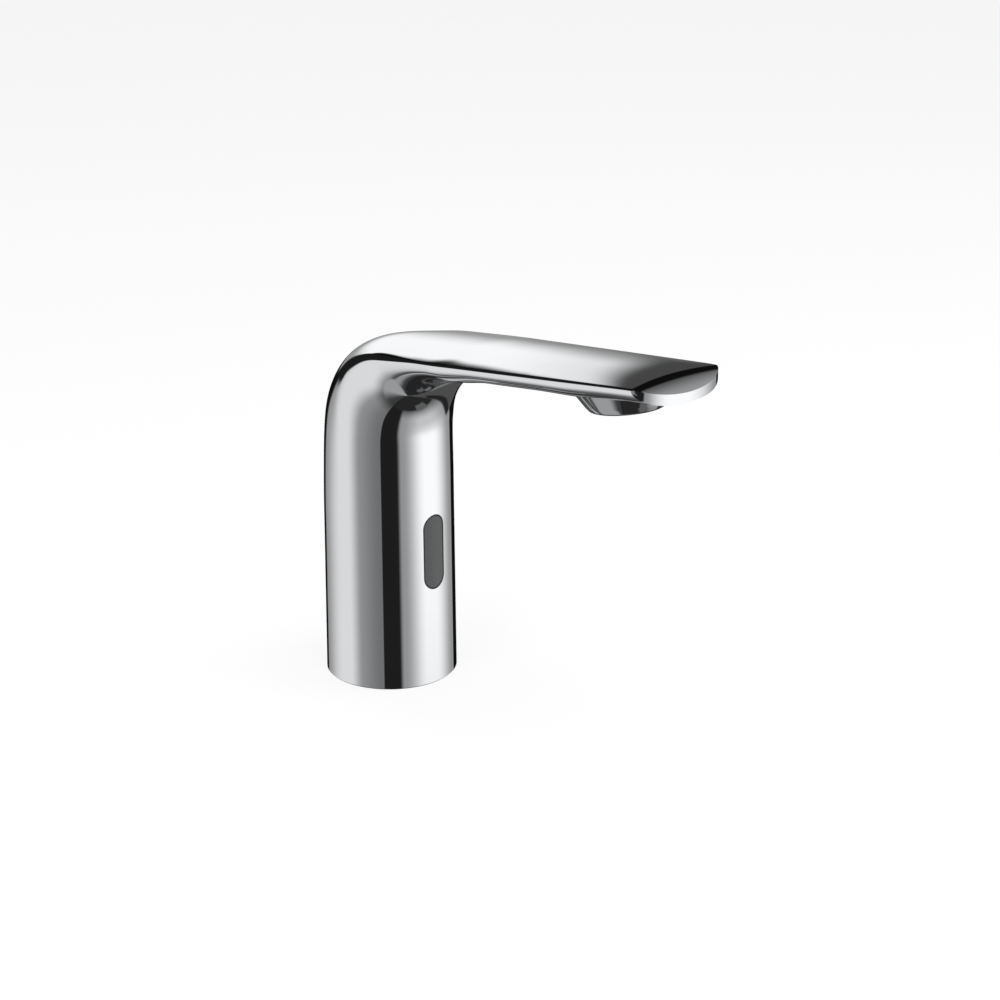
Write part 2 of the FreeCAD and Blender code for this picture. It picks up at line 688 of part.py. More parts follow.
def bonnet():
    block = box(-bonnet_half, bonnet_half, valve_y - bonnet_half, valve_y + bonnet_half,
                cup_top, bonnet_top)
    pocket = cyl(chamber_r + diaphragm_rim + fit, cup_top - 1.0, diaphragm_top, 0, valve_y)
    chamber = cyl(chamber_r, cup_top, chamber_over, 0, valve_y)
    pilot = cyl(pilot_r, chamber_over - 1.0, pilot_z + 1.0, 0, valve_y)
    seat = cyl(guide_r + tube_wall + fit, pilot_z, bonnet_top + 1.0, 0, valve_y)
    holes = [cyl(small_screw_r + slip, cup_top - 1.0, bonnet_top + 1.0, x, y)
             for x, y in bonnet_screw_places()]
    return block.cut([pocket, chamber, pilot, seat] + holes)


def plunger():
    rod = cyl(plunger_r, plunger_z, plunger_top, 0, valve_y)
    pocket = cyl(spring_pocket_r, plunger_top - spring_pocket, plunger_top + 1.0, 0, valve_y)
    return rod.cut(pocket)


def guide_tube():
    return ring(guide_r + tube_wall, guide_r, pilot_z, core_top, 0, valve_y)


def fixed_core():
    plug = cyl(guide_r - seal_gap, core_z, core_top, 0, valve_y)
    head = cyl(guide_r + tube_wall, core_top, core_top + yoke_t + core_head_h, 0, valve_y)
    return plug.fuse(head).removeSplitter()


def bobbin():
    sleeve_in = guide_r + tube_wall + fit
    sleeve_out = sleeve_in + bobbin_wall
    tube = cyl(sleeve_out, bobbin_z, bobbin_top, 0, valve_y)
    low = cyl(bobbin_r, bobbin_z, bobbin_z + bobbin_flange, 0, valve_y)
    high = cyl(bobbin_r, bobbin_top - bobbin_flange, bobbin_top, 0, valve_y)
    return join([tube, low, high]).cut(cyl(sleeve_in, bobbin_z - 1.0, bobbin_top + 1.0, 0, valve_y))


def winding():
    inside = guide_r + tube_wall + fit + bobbin_wall
    return ring(bobbin_r - winding_inset, inside, bobbin_z + bobbin_flange, bobbin_top - bobbin_flange,
                0, valve_y)


def yoke():
    """Steel bracket under, beside and over the coil."""
    half = bobbin_r + slip
    out = half + yoke_t
    y0, y1 = valve_y - yoke_w / 2.0, valve_y + yoke_w / 2.0
    frame = box(-out, out, y0, y1, bonnet_top, core_top + yoke_t).cut(
        box(-half, half, y0 - 1.0, y1 + 1.0, bobbin_z, core_top))
    return frame.cut(cyl(guide_r + tube_wall + fit, bonnet_top - 1.0, core_top + yoke_t + 1.0, 0, valve_y))


def coil_pins():
    """Two pins from the coil's upper flange into the sensor board."""
    z = bobbin_top - bobbin_flange / 2.0
    y1 = valve_y - math.sqrt(bobbin_r ** 2 - (pin_x - pin_r) ** 2)
    y0 = board_back()
    return Part.makeCompound([y_cyl(pin_r, y0, y1 - fit, sx * pin_x, z) for sx in (-1, 1)])


def board_back():
    """Y of the sensor board's back face."""
    return -house_back - cover_t - slip


def check_body():
    tube = ring(check_r, check_bore, manifold_z, manifold_z + check_h, inlet_x, valve_y)
    reach = check_bore + root_bite
    seat = ring(reach, check_seat, manifold_z, manifold_z + check_seat_t, inlet_x, valve_y)
    top = manifold_z + check_h
    half = spider_arm / 2.0
    arms = [box(inlet_x - reach, inlet_x + reach, valve_y - half, valve_y + half, top - spider_t, top),
            box(inlet_x - half, inlet_x + half, valve_y - reach, valve_y + reach, top - spider_t, top),
            cyl(stem_r + spider_hub, top - spider_t, top, inlet_x, valve_y)]
    solid = join([tube, seat] + arms)
    return solid.cut(cyl(stem_r + fit, top - spider_t - 1.0, top + 1.0, inlet_x, valve_y))


def check_poppet():
    z0 = manifold_z + check_seat_t + fit
    head = cyl(poppet_r, z0, z0 + poppet_t, inlet_x, valve_y)
    stem = cyl(stem_r, z0, manifold_z + check_h - stem_short, inlet_x, valve_y)
    return head.fuse(stem).removeSplitter()


def check_spring():
    z0 = manifold_z + check_seat_t + fit + poppet_t
    z1 = manifold_z + check_h - spider_t
    return coil_spring(check_spring_r, check_wire, z0 + seal_gap, z1 - seal_gap, check_turns,
                       inlet_x, valve_y)


def plunger_spring():
    z0 = plunger_top - spring_pocket
    return coil_spring(plunger_spring_r, plunger_wire, z0 + seal_gap, core_z - seal_gap, plunger_turns,
                       0, valve_y)


def inlet_filter():
    """Cup strainer above the hose thread."""
    z1 = flange_h
    z0 = z1 - filter_h
    r = filter_r - fit
    cup = cyl(r, z0, z1, inlet_x, valve_y)
    cup = cup.cut(cyl(r - filter_t, z0 + filter_t, z1 + 1.0, inlet_x, valve_y))
    return cup.cut(grid_holes(r - filter_t, filter_pitch, filter_hole, z0 - filter_t, z0 + 2.0 * filter_t,
                              inlet_x, valve_y))


def grid_holes(radius, pitch, width, z0, z1, x, y):
    """Square holes on a square grid inside a circle."""
    reach = int(radius / pitch)
    half = width / 2.0
    holes = []
    for i in range(-reach, reach + 1):
        for j in range(-reach, reach + 1):
            if math.hypot(i, j) * pitch + width * 0.75 < radius:
                cx, cy = x + i * pitch, y + j * pitch
                holes.append(box(cx - half, cx + half, cy - half, cy + half, z0, z1))
    return holes


def groove_heights():
    """Heights of the ring grooves on the two ends of the outlet tube."""
    low = tube_low + slip + collar_h / 2.0
    high = tube_top - collar_h / 2.0
    return [c + s * groove_pitch / 2.0 for c in (low, high) for s in (-1, 1)]


def outlet_tube():
    z0 = tube_low + slip
    tube = cyl(tube_r, z0, tube_top, 0, tube_y)
    ends = [cyl(collar_r, z0, z0 + collar_h, 0, tube_y),
            cyl(collar_r, tube_top - collar_h, tube_top, 0, tube_y)]
    solid = join([tube] + ends)
    half = groove_w / 2.0
    grooves = [ring(collar_r + 1.0, collar_r - groove_depth, z - half, z + half, 0, tube_y)
               for z in groove_heights()]
    return solid.cut(grooves + [cyl(tube_bore, z0 - 1.0, tube_top + 1.0, 0, tube_y)])


def tube_rings():
    found = []
    for z in groove_heights():
        torus = Part.makeTorus(collar_r + fit - seal_gap - tube_ring_wire, tube_ring_wire)
        torus.translate(V(0, tube_y, z))
        found.append(torus)
    return Part.makeCompound(found)


def inner_frame():
    """Plastic frame on the manifold: foot, two curved walls, battery tray and sensor ledge."""
    foot = cyl(frame_r, manifold_top, manifold_top + frame_foot)
    walls = ring(frame_r, frame_r - frame_wall, manifold_top, tray_top)
    tray = cyl(frame_r, tray_z, tray_top)
    ledge = box(-frame_r, frame_r, -house_front + frame_slip, -house_back, house_low - ledge_t, house_low)
    ledge = ledge.common(cyl(frame_r, 0, house_low))
    solid = join([foot, walls, tray])
    foot_top = manifold_top + frame_foot
    front = box(-front_gap_half, front_gap_half, -hollow_r, -house_back + slip, foot_top, tray_top + 1.0)
    rear = box(-rear_gap_half, rear_gap_half, tube_y - tower_r - slip, hollow_r, manifold_top - 1.0, tray_z)
    bay_half = cup_r + slip
    bay = box(-bay_half, bay_half, valve_y - bay_half, tube_y, manifold_top - 1.0, foot_top + 1.0)
    tube = cyl(collar_r + slip, tray_z - 1.0, tray_top + 1.0, 0, tube_y)
    lead = cyl(lead_r + slip, tray_z - 1.0, tray_top + 1.0, lead_x, lead_y)
    holes = [cyl(frame_screw_r + slip, manifold_top - 1.0, foot_top + 1.0, x, y)
             for x, y in frame_screw_places()]
    solid = solid.cut([front, rear, bay, tube, lead] + holes)
    solid = solid.fuse(ledge).removeSplitter()
    taps = [cyl(sensor_screw_r + slip, house_low - ledge_t - 1.0, house_low + 1.0, x, y)
            for x, y in sensor_screw_places()]
    return solid.cut(taps)


def sensor_screw_places():
    """Centres of the two sensor screws, in the middle of the housing."""
    y = -(house_front + house_back) / 2.0
    return [(sx * sensor_screw_x, y) for sx in (-1, 1)]


def sensor_window():
    prism = window_prism(-window_seal_w - seal_gap, -base_r - 1.0, -window_back)
    return prism.common(tapered_body(window_sink, window_z - 2.0 * window_half_h,
                                     window_z + 2.0 * window_half_h))


def window_seal():
    outside = window_prism(-seal_gap, -base_r - 1.0, -window_back)
    inside = window_prism(-window_seal_w, -base_r - 2.0, -window_back + 1.0)
    form = tapered_body(2.0 * window_sink, window_z - 2.0 * window_half_h, window_z + 2.0 * window_half_h)
    return outside.cut(inside).common(form)


def sensor_housing():
    """Moulded housing with a barrel for each diode and a recess for the board."""
    z0, z1 = house_low, window_z + house_half_h
    block = box(-house_half_w, house_half_w, -house_front, -house_back, z0, z1).common(cyl(frame_r, z0, z1))
    front = board_front()
    recess = box(-house_half_w + house_wall, house_half_w - house_wall, front, -house_back + 1.0,
                 z0 + house_wall, z1 - house_wall)
    barrels = []
    for z in diode_heights():
        barrels.append(y_cyl(diode_r + fit, -house_front - 1.0, front + house_wall, 0, z))
    half = chip_size / 2.0 + slip
    chips = box(-half, half, front - chip_t - slip, front + house_wall, window_z - half, window_z + half)
    taps = [cyl(sensor_screw_r, z0 - 1.0, z0 + sensor_screw_len - ledge_t, x, y)
            for x, y in sensor_screw_places()]
    return block.cut([recess, chips] + barrels + taps)


def board_front():
    """Y of the sensor board's front face."""
    return board_back() - board_t


def diode_heights():
    """Heights of the emitter and the receiver."""
    return window_z + diode_offset, window_z - diode_offset


def diode(z):
    """Round diode with a domed lens, facing forward."""
    base = board_front() - fit
    barrel = y_cyl(diode_r, base - diode_len + diode_r, base, 0, z)
    dome = Part.makeSphere(diode_r, V(0, base - diode_len + diode_r, z))
    return barrel.fuse(dome).removeSplitter()


def recess_plate(y0, y1):
    """Plate that fills the housing's recess between two Y values, with a fit all round."""
    half_x = house_half_w - house_wall - fit
    half_z = house_half_h - house_wall - fit
    return box(-half_x, half_x, y0, y1, window_z - half_z, window_z + half_z)


def sensor_board():
    return recess_plate(board_front(), board_back())


def board_chip():
    half = chip_size / 2.0
    return box(-half, half, board_front() - chip_t, board_front(), window_z - half, window_z + half)


def sensor_cover():
    plate = recess_plate(-house_back - cover_t, -house_back)
    z = bobbin_top - bobbin_flange / 2.0
    holes = [y_cyl(pin_r + slip, -house_back - cover_t - 1.0, -house_back + 1.0, sx * pin_x, z)
             for sx in (-1, 1)]
    return plate.cut(holes)


def rounded_block(half_x, half_y, z0, z1, y, radius):
    """Block with rounded upright edges, centred on x = 0."""
    block = box(-half_x, half_x, y - half_y, y + half_y, z0, z1)
    upright = [e for e in block.Edges if e.BoundBox.ZLength > (z1 - z0) * 0.9]
    return block.makeFillet(radius, upright)


def battery():
    return rounded_block(cell_w / 2.0, cell_d / 2.0, cell_z, cell_top, cell_y, cell_round)


def battery_holder():
    z0 = tray_top
    half_x, half_y = cell_w / 2.0 + slip, cell_d / 2.0 + slip
    outside = rounded_block(half_x + holder_wall, half_y + holder_wall, z0, z0 + holder_h, cell_y,
                            cell_round + holder_wall)
    outside = outside.common(cyl(frame_r, z0, z0 + holder_h))
    inside = rounded_block(half_x, half_y, z0 + holder_floor, z0 + holder_h + 1.0, cell_y, cell_round)
    notch_top = window_z + house_half_h + slip
    notch = box(-house_half_w - slip, house_half_w + slip, -hollow_r, -house_back + slip, z0 - 1.0, notch_top)
    tube = cyl(collar_r + slip, z0 - 1.0, z0 + holder_h + 1.0, 0, tube_y)
    lead = cyl(lead_r + slip, z0 - 1.0, z0 + holder_floor + 1.0, lead_x, lead_y)
    return outside.cut([inside, notch, tube, lead])


def battery_contacts():
    z0 = tray_top + holder_floor
    found = []
    for sx in (-1, 1):
        found.append(box(sx * contact_x - contact_w / 2.0, sx * contact_x + contact_w / 2.0,
                         cell_y - contact_len / 2.0, cell_y + contact_len / 2.0, z0, z0 + contact_t))
    return Part.makeCompound(found)


def battery_strap():
    y0, y1 = cell_y - strap_w / 2.0, cell_y + strap_w / 2.0
    out = strap_half + strap_t
    outer = box(-out, out, y0, y1, cell_top - strap_leg, cell_top + strap_t)
    return outer.cut(box(-strap_half, strap_half, y0 - 1.0, y1 + 1.0, cell_top - strap_leg - 1.0, cell_top))


def battery_lead():
    """Two-core lead from the battery tray to the sensor board's cover."""
    top = V(lead_x, lead_y, tray_top + holder_floor)
    corner = V(lead_x, lead_y, lead_z)
    end = V(lead_x, -house_back, lead_z)
    bend = lead_bend * (corner - end).Length
    down, across = (corner - top).normalize(), (end - corner).normalize()
    a, b = corner - down * bend, corner + across * bend
    middle = corner + (across - down) * (bend * (1.0 - math.sqrt(0.5)))
    path = Part.Wire([Part.LineSegment(top, a).toShape(), Part.Arc(a, middle, b).toShape(),
                      Part.LineSegment(b, end).toShape()])
    start = Part.Wire([Part.Circle(top, V(0, 0, 1), lead_r).toShape()])
    return path.makePipeShell([start], True, False)


def aerator_housing():
    z0, z1 = aerator_recess, aerator_recess + aerator_h
    r = thread_r - fit
    shell = ring(r, r - aerator_wall, z0, z1)
    inside = r - aerator_wall
    ledge = ring(inside + root_bite, inside - catch, z0 + slot_h, z0 + slot_h + catch_t)
    solid = join([shell, ledge])
    slots = []
    for i in range(aerator_slots):
        cut = box(inside - catch, r - notch_wall, -slot_w / 2.0, slot_w / 2.0, z0 - 1.0, z0 + slot_h)
        cut.rotate(V(0, 0, 0), V(0, 0, 1), 360.0 * i / aerator_slots)
        slots.append(cut)
    return at_outlet(solid.cut(slots))


def aerator_inner_r():
    """Radius of the pieces inside the aerator housing."""
    return thread_r - fit - aerator_wall - fit


def mesh_low():
    """Height of the outlet mesh above the rim."""
    return aerator_recess + slot_h + catch_t


def aerator_mesh():
    r = aerator_inner_r()
    disc = cyl(r, mesh_low(), mesh_low() + mesh_t)
    holes = grid_holes(r - mesh_margin, mesh_pitch, mesh_hole, mesh_low() - mesh_t,
                       mesh_low() + 2.0 * mesh_t, 0, 0)
    return at_outlet(disc.cut(holes))


def aerator_diffuser():
    r = aerator_inner_r()
    z1 = aerator_recess + aerator_h
    z0 = z1 - diffuser_t
    skirt = ring(r, r - skirt_t, mesh_low() + mesh_t, z0)
    disc = cyl(r, z0, z1)
    solid = join([disc, skirt])
    jets = []
    for i in range(diffuser_holes):
        a = 2.0 * math.pi * i / diffuser_holes
        jets.append(cyl(jet_r, z0 - 1.0, z1 + 1.0, r * jet_ring * math.cos(a), r * jet_ring * math.sin(a)))
    return at_outlet(solid.cut(jets))


def aerator_washer():
    z0 = aerator_recess + aerator_h
    r = thread_r - fit
    return at_outlet(ring(r, r - washer_w, z0, z0 + washer_t))


def plunger_seal():
    return cyl(plunger_r * tip_share, pilot_z + fit, plunger_z, 0, valve_y)


def frame_screws():
    z = manifold_top + frame_foot
    length = z - flange_h + frame_screw_in - tap_over
    shank = frame_screw_r - seal_gap
    return Part.makeCompound([screw_upright(x, y, z, length, shank, frame_head_r, frame_head_h)
                              for x, y in frame_screw_places()])


def bonnet_screws():
    length = small_screw_len - tap_over
    shank = small_screw_r - seal_gap
    return Part.makeCompound([screw_upright(x, y, bonnet_top, length, shank, small_head_r, small_head_h)
                              for x, y in bonnet_screw_places()])


def sensor_screws():
    z = house_low - ledge_t
    length = sensor_screw_len - sensor_tap_over
    shank = sensor_screw_r - seal_gap
    return Part.makeCompound([screw_upright(x, y, z, length, shank, sensor_head_r, sensor_head_h, up=-1.0)
                              for x, y in sensor_screw_places()])


parts = {
    "body_casting": body_casting,
    "foot_seal": foot_seal,
    "base_flange": base_flange,
    "flange_ring": flange_ring,
    "lock_screw": lock_screw,
    "valve_body": valve_body,
    "frame_screws": frame_screws,
    "inlet_filter": inlet_filter,
    "check_valve_body": check_body,
    "check_poppet": check_poppet,
    "check_spring": check_spring,
    "diaphragm": diaphragm,
    "diaphragm_plate": diaphragm_plate,
    "bonnet": bonnet,
    "bonnet_screws": bonnet_screws,
    "plunger": plunger,
    "plunger_seal": plunger_seal,
    "plunger_spring": plunger_spring,
    "guide_tube": guide_tube,
    "fixed_core": fixed_core,
    "coil_bobbin": bobbin,
    "coil_winding": winding,
    "coil_yoke": yoke,
    "coil_pins": coil_pins,
    "outlet_tube": outlet_tube,
    "tube_rings": tube_rings,
    "inner_frame": inner_frame,
    "sensor_window": sensor_window,
    "window_seal": window_seal,
    "sensor_housing": sensor_housing,
    "sensor_cover": sensor_cover,
    "sensor_board": sensor_board,
    "board_chip": board_chip,
    "emitter_diode": lambda: diode(diode_heights()[0]),
    "receiver_diode": lambda: diode(diode_heights()[1]),
    "sensor_screws": sensor_screws,
    "battery": battery,
    "battery_holder": battery_holder,
    "battery_contacts": battery_contacts,
    "battery_strap": battery_strap,
    "battery_lead": battery_lead,
    "aerator_housing": aerator_housing,
    "aerator_mesh": aerator_mesh,
    "aerator_diffuser": aerator_diffuser,
    "aerator_washer": aerator_washer,
}

os.makedirs("parts", exist_ok=True)
for name, make in parts.items():
    shape = make()
    print(name, "solids", len(shape.Solids), "valid", shape.isValid(), "volume", round(shape.Volume, 1))
    shape.exportStep("parts/" + name + ".step")
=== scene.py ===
import math

import bmesh
import bpy
import numpy as np
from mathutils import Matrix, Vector


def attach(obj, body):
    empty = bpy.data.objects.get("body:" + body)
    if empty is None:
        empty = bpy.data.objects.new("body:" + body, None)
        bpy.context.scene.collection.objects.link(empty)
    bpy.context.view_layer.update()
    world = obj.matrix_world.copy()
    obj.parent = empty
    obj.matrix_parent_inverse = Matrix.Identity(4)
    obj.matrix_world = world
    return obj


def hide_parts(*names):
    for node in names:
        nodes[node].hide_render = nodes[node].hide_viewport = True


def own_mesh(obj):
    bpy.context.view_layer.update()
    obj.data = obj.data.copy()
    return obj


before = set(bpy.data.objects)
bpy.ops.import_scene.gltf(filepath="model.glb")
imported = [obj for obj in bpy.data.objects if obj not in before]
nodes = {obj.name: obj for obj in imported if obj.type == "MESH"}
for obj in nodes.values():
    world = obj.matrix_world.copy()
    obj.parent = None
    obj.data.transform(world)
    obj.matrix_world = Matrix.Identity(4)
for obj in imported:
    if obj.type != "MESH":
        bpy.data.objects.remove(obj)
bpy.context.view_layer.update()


# ---- camera, as the photograph was taken -----------------------------------------------------
def add_camera():
    """Camera in front and to the left of the tap, looking down on it."""
    data = bpy.data.cameras.new("camera")
    data.sensor_width = 36.0
    data.lens = 76.49
    data.clip_start = 0.01
    camera = bpy.data.objects.new("camera", data)
    camera.location = (-0.5053, -0.5574, 0.3314)
    camera.rotation_euler = (math.radians(70.58), 0.0, math.radians(-45.36))
    bpy.context.scene.collection.objects.link(camera)
    bpy.context.scene.camera = camera


# ---- casting: body and spout in one smooth skin ----------------------------------------------
# Sizes in millimetres, the same as the CAD casting's.
NECK_R, BASE_R, HOLLOW_R, HOLLOW_TOP = 24.1, 24.9, 21.5, 104.0
CORNER_F, CORNER_Z, RISE = 137.4, 142.5, math.radians(5.5)
CORNER_HALF, ROOT_HALF = 21.1, 24.6
BACK_BEND, EDGE_BEND, INNER_BEND = 35.5, 22.0, 28.0
ROOT_DEPTH, CROWN_ROOT, CROWN_TIP = 9.5, 2.3, 1.0
HULL_POWER, NOSE_BULGE, NOSE_BACK, NOSE_STEP = 2.5, 9.2, 2.0, 0.22
BOSS_F, BOSS_Z, BOSS_TILT = 117.2, 127.6, math.radians(8.0)
COLUMNS = 336


def edge_height(forward):
    """Height of the spout's straight edge line at a forward distance."""
    return CORNER_Z - (CORNER_F - forward) * math.tan(RISE)


def guide_distance(origin, ray, radius, start, lift):
    """Distance along a ray to a guide: upright line, arc, then the edge line raised by lift."""
    centre_f = start + radius
    centre_z = edge_height(centre_f - radius * math.sin(RISE)) + lift - radius * math.cos(RISE)
    across = ray[1] - math.tan(RISE) * ray[0]
    if abs(across) > 1e-9:
        t = (edge_height(origin[0]) + lift - origin[1]) / across
        if t > 0 and origin[0] + t * ray[0] >= centre_f - radius * math.sin(RISE) - 1e-9:
            return t
    off_f, off_z = origin[0] - centre_f, origin[1] - centre_z
    half = off_f * ray[0] + off_z * ray[1]
    inside = half * half - (off_f * off_f + off_z * off_z - radius * radius)
    if inside > 0:
        t = math.sqrt(inside) - half
        if origin[1] + t * ray[1] >= centre_z - 1e-9:
            return t
    return (start - origin[0]) / ray[0]


def step(value, low, high):
    """0 below low, 1 above high, a smooth cubic between."""
    t = np.clip((value - low) / (high - low), 0.0, 1.0)
    return t * t * (3.0 - 2.0 * t)


def casting_stations():
    """Rows of forward, height, ray, half width, crown, its power, depth, its power, edge rounding."""
    turn_f = NECK_R + INNER_BEND
    turn_z = edge_height(turn_f) - ROOT_DEPTH / math.cos(RISE) - INNER_BEND
    lift = CROWN_ROOT / math.cos(RISE)
    rows = []
    for z in turn_z * np.arange(7) / 7.0:
        r = BASE_R + (NECK_R - BASE_R) * min(z / turn_z, 1.0)
        back = guide_distance((r, z), (-1.0, 0.0), BACK_BEND, -r, lift)
        front = guide_distance((r, z), (-1.0, 0.0), EDGE_BEND, 0.0, 0.0)
        rows.append((r - front, z, -1.0, 0.0, r, back - front, np.interp(z, (76.0, 92.0), (1.0, 1.12)),
                     front, 2.0, 0.6))
    for share in np.arange(13) / 12.0:
        a = share * (math.pi / 2.0 - RISE)
        ray = (-math.cos(a), math.sin(a))
        edge = guide_distance((turn_f, turn_z), ray, EDGE_BEND, 0.0, 0.0)
        back = guide_distance((turn_f, turn_z), ray, BACK_BEND, -NECK_R, lift)
        rows.append((turn_f + edge * ray[0], turn_z + edge * ray[1], *ray,
                     NECK_R + (ROOT_HALF - NECK_R) * share, back - edge,
                     np.interp(share, (0.0, 0.1, 0.25, 0.42), (1.18, 1.34, 1.7, 2.0)),
                     edge - INNER_BEND, 2.0 + (HULL_POWER - 2.0) * share,
                     0.6 + 2.4 * step(share, -0.1, 0.3) * (1.0 - step(share, 0.35, 0.9))))
    root_f, last_f = rows[-1][0], CORNER_F + 1.65 * NOSE_BULGE
    for f in root_f + (last_f - root_f) * np.arange(1, 13) / 12.0:
        share = (f - root_f) / (CORNER_F - root_f)
        depth = (ROOT_DEPTH + (7.8 - ROOT_DEPTH) * step(f, root_f, root_f + 20.0)
                 + 0.4 * step(f, BOSS_F - 26.0, BOSS_F - 8.0) - 0.8 * step(f, BOSS_F - 8.0, BOSS_F + 8.0)
                 - 0.1 * step(f, BOSS_F + 8.0, 144.6))
        rows.append((f, edge_height(f), -math.sin(RISE), math.cos(RISE),
                     ROOT_HALF + (CORNER_HALF - ROOT_HALF) * share,
                     CROWN_ROOT + (CROWN_TIP - CROWN_ROOT) * min(share, 1.0), 2.0, depth, HULL_POWER, 0.6))
    return np.array(rows)


def even_half(x, n, count):
    """Half an outline as count points evenly spread along its length, its last point left out."""
    run = np.r_[0.0, np.cumsum(np.hypot(np.diff(x), np.diff(n)))]
    even = np.linspace(0.0, run[-1], count + 1)[:-1]
    return np.interp(even, run, x) + 1j * np.interp(even, run, n), run[-1]


def rounded_section(half_w, crown, crown_power, depth, depth_power, rounding, count=1024):
    """Closed outline of a crown, height times the sine to a power, over a superellipse hull, as
    complex numbers; its edges are rounded by damping each wave of wavelength L in its Fourier
    series by exp(-(2 pi rounding / L)^2 / 2)."""
    a = np.linspace(0.0, math.pi, 1601)
    c, s = np.cos(a), np.sin(a)
    s[0] = s[-1] = 0.0
    k = (np.abs(c) ** depth_power + s ** depth_power) ** (1.0 / depth_power)
    top, top_run = even_half(half_w * c, crown * s ** crown_power, count)
    low, low_run = even_half((half_w * c / k)[::-1], (-depth * s / k)[::-1], count)
    waves = np.fft.fftfreq(2 * count) * 2 * count / (top_run + low_run)
    damp = np.exp(-0.5 * (2.0 * math.pi * rounding * waves) ** 2)
    return np.fft.ifft(np.fft.fft(np.r_[top, low]) * damp)


def spline_bends(knots, values):
    """Second derivatives at the knots of the natural cubic spline through values."""
    h = np.diff(knots)
    system = np.eye(len(knots))
    right = np.zeros_like(values)
    inner = np.arange(1, len(knots) - 1)
    system[inner, inner - 1], system[inner, inner + 1] = h[:-1] / 6.0, h[1:] / 6.0
    system[inner, inner] = (h[:-1] + h[1:]) / 3.0
    shape = (-1,) + (1,) * (values.ndim - 1)
    slope = np.diff(values, axis=0) / h.reshape(shape)
    right[1:-1] = np.diff(slope, axis=0)
    return np.linalg.solve(system, right.reshape(len(knots), -1)).reshape(values.shape)


def spline_at(knots, values, bends, t):
    """Points of the spline at t, an array of rows by columns; values are knots by columns by 3."""
    i = np.clip(np.searchsorted(knots, t, side="right") - 1, 0, len(knots) - 2)
    column = np.arange(t.shape[1])[None, :]
    h = (knots[i + 1] - knots[i])[..., None]
    b = (t - knots[i])[..., None] / h
    a = 1.0 - b
    return (a * values[i, column] + b * values[i + 1, column]
            + ((a ** 3 - a) * bends[i, column] + (b ** 3 - b) * bends[i + 1, column]) * h * h / 6.0)


def nose_front(x):
    """Forward distance of the rounded nose wall, a half ellipse in plan."""
    across = np.clip(np.abs(x) / (CORNER_HALF + NOSE_STEP), 0.0, 1.0)
    return CORNER_F - NOSE_BACK + NOSE_BULGE * np.sqrt(1.0 - across ** 2)


def under_bevel(points):
    """Points lowered to the slightly crowned nose bevel: the lower of their height and the bevel's,
    joined by a hyperbola, half the sum less the root of half the difference squared plus a square."""
    ahead = -points[..., 1] - CORNER_F
    bevel = CORNER_Z + 0.25 - ahead * (0.36 + 0.017 * np.maximum(ahead, 0.0))
    half = (points[..., 2] - bevel) / 2.0
    points[..., 2] = (points[..., 2] + bevel) / 2.0 - np.sqrt(half ** 2 + 0.3 ** 2)
    return points


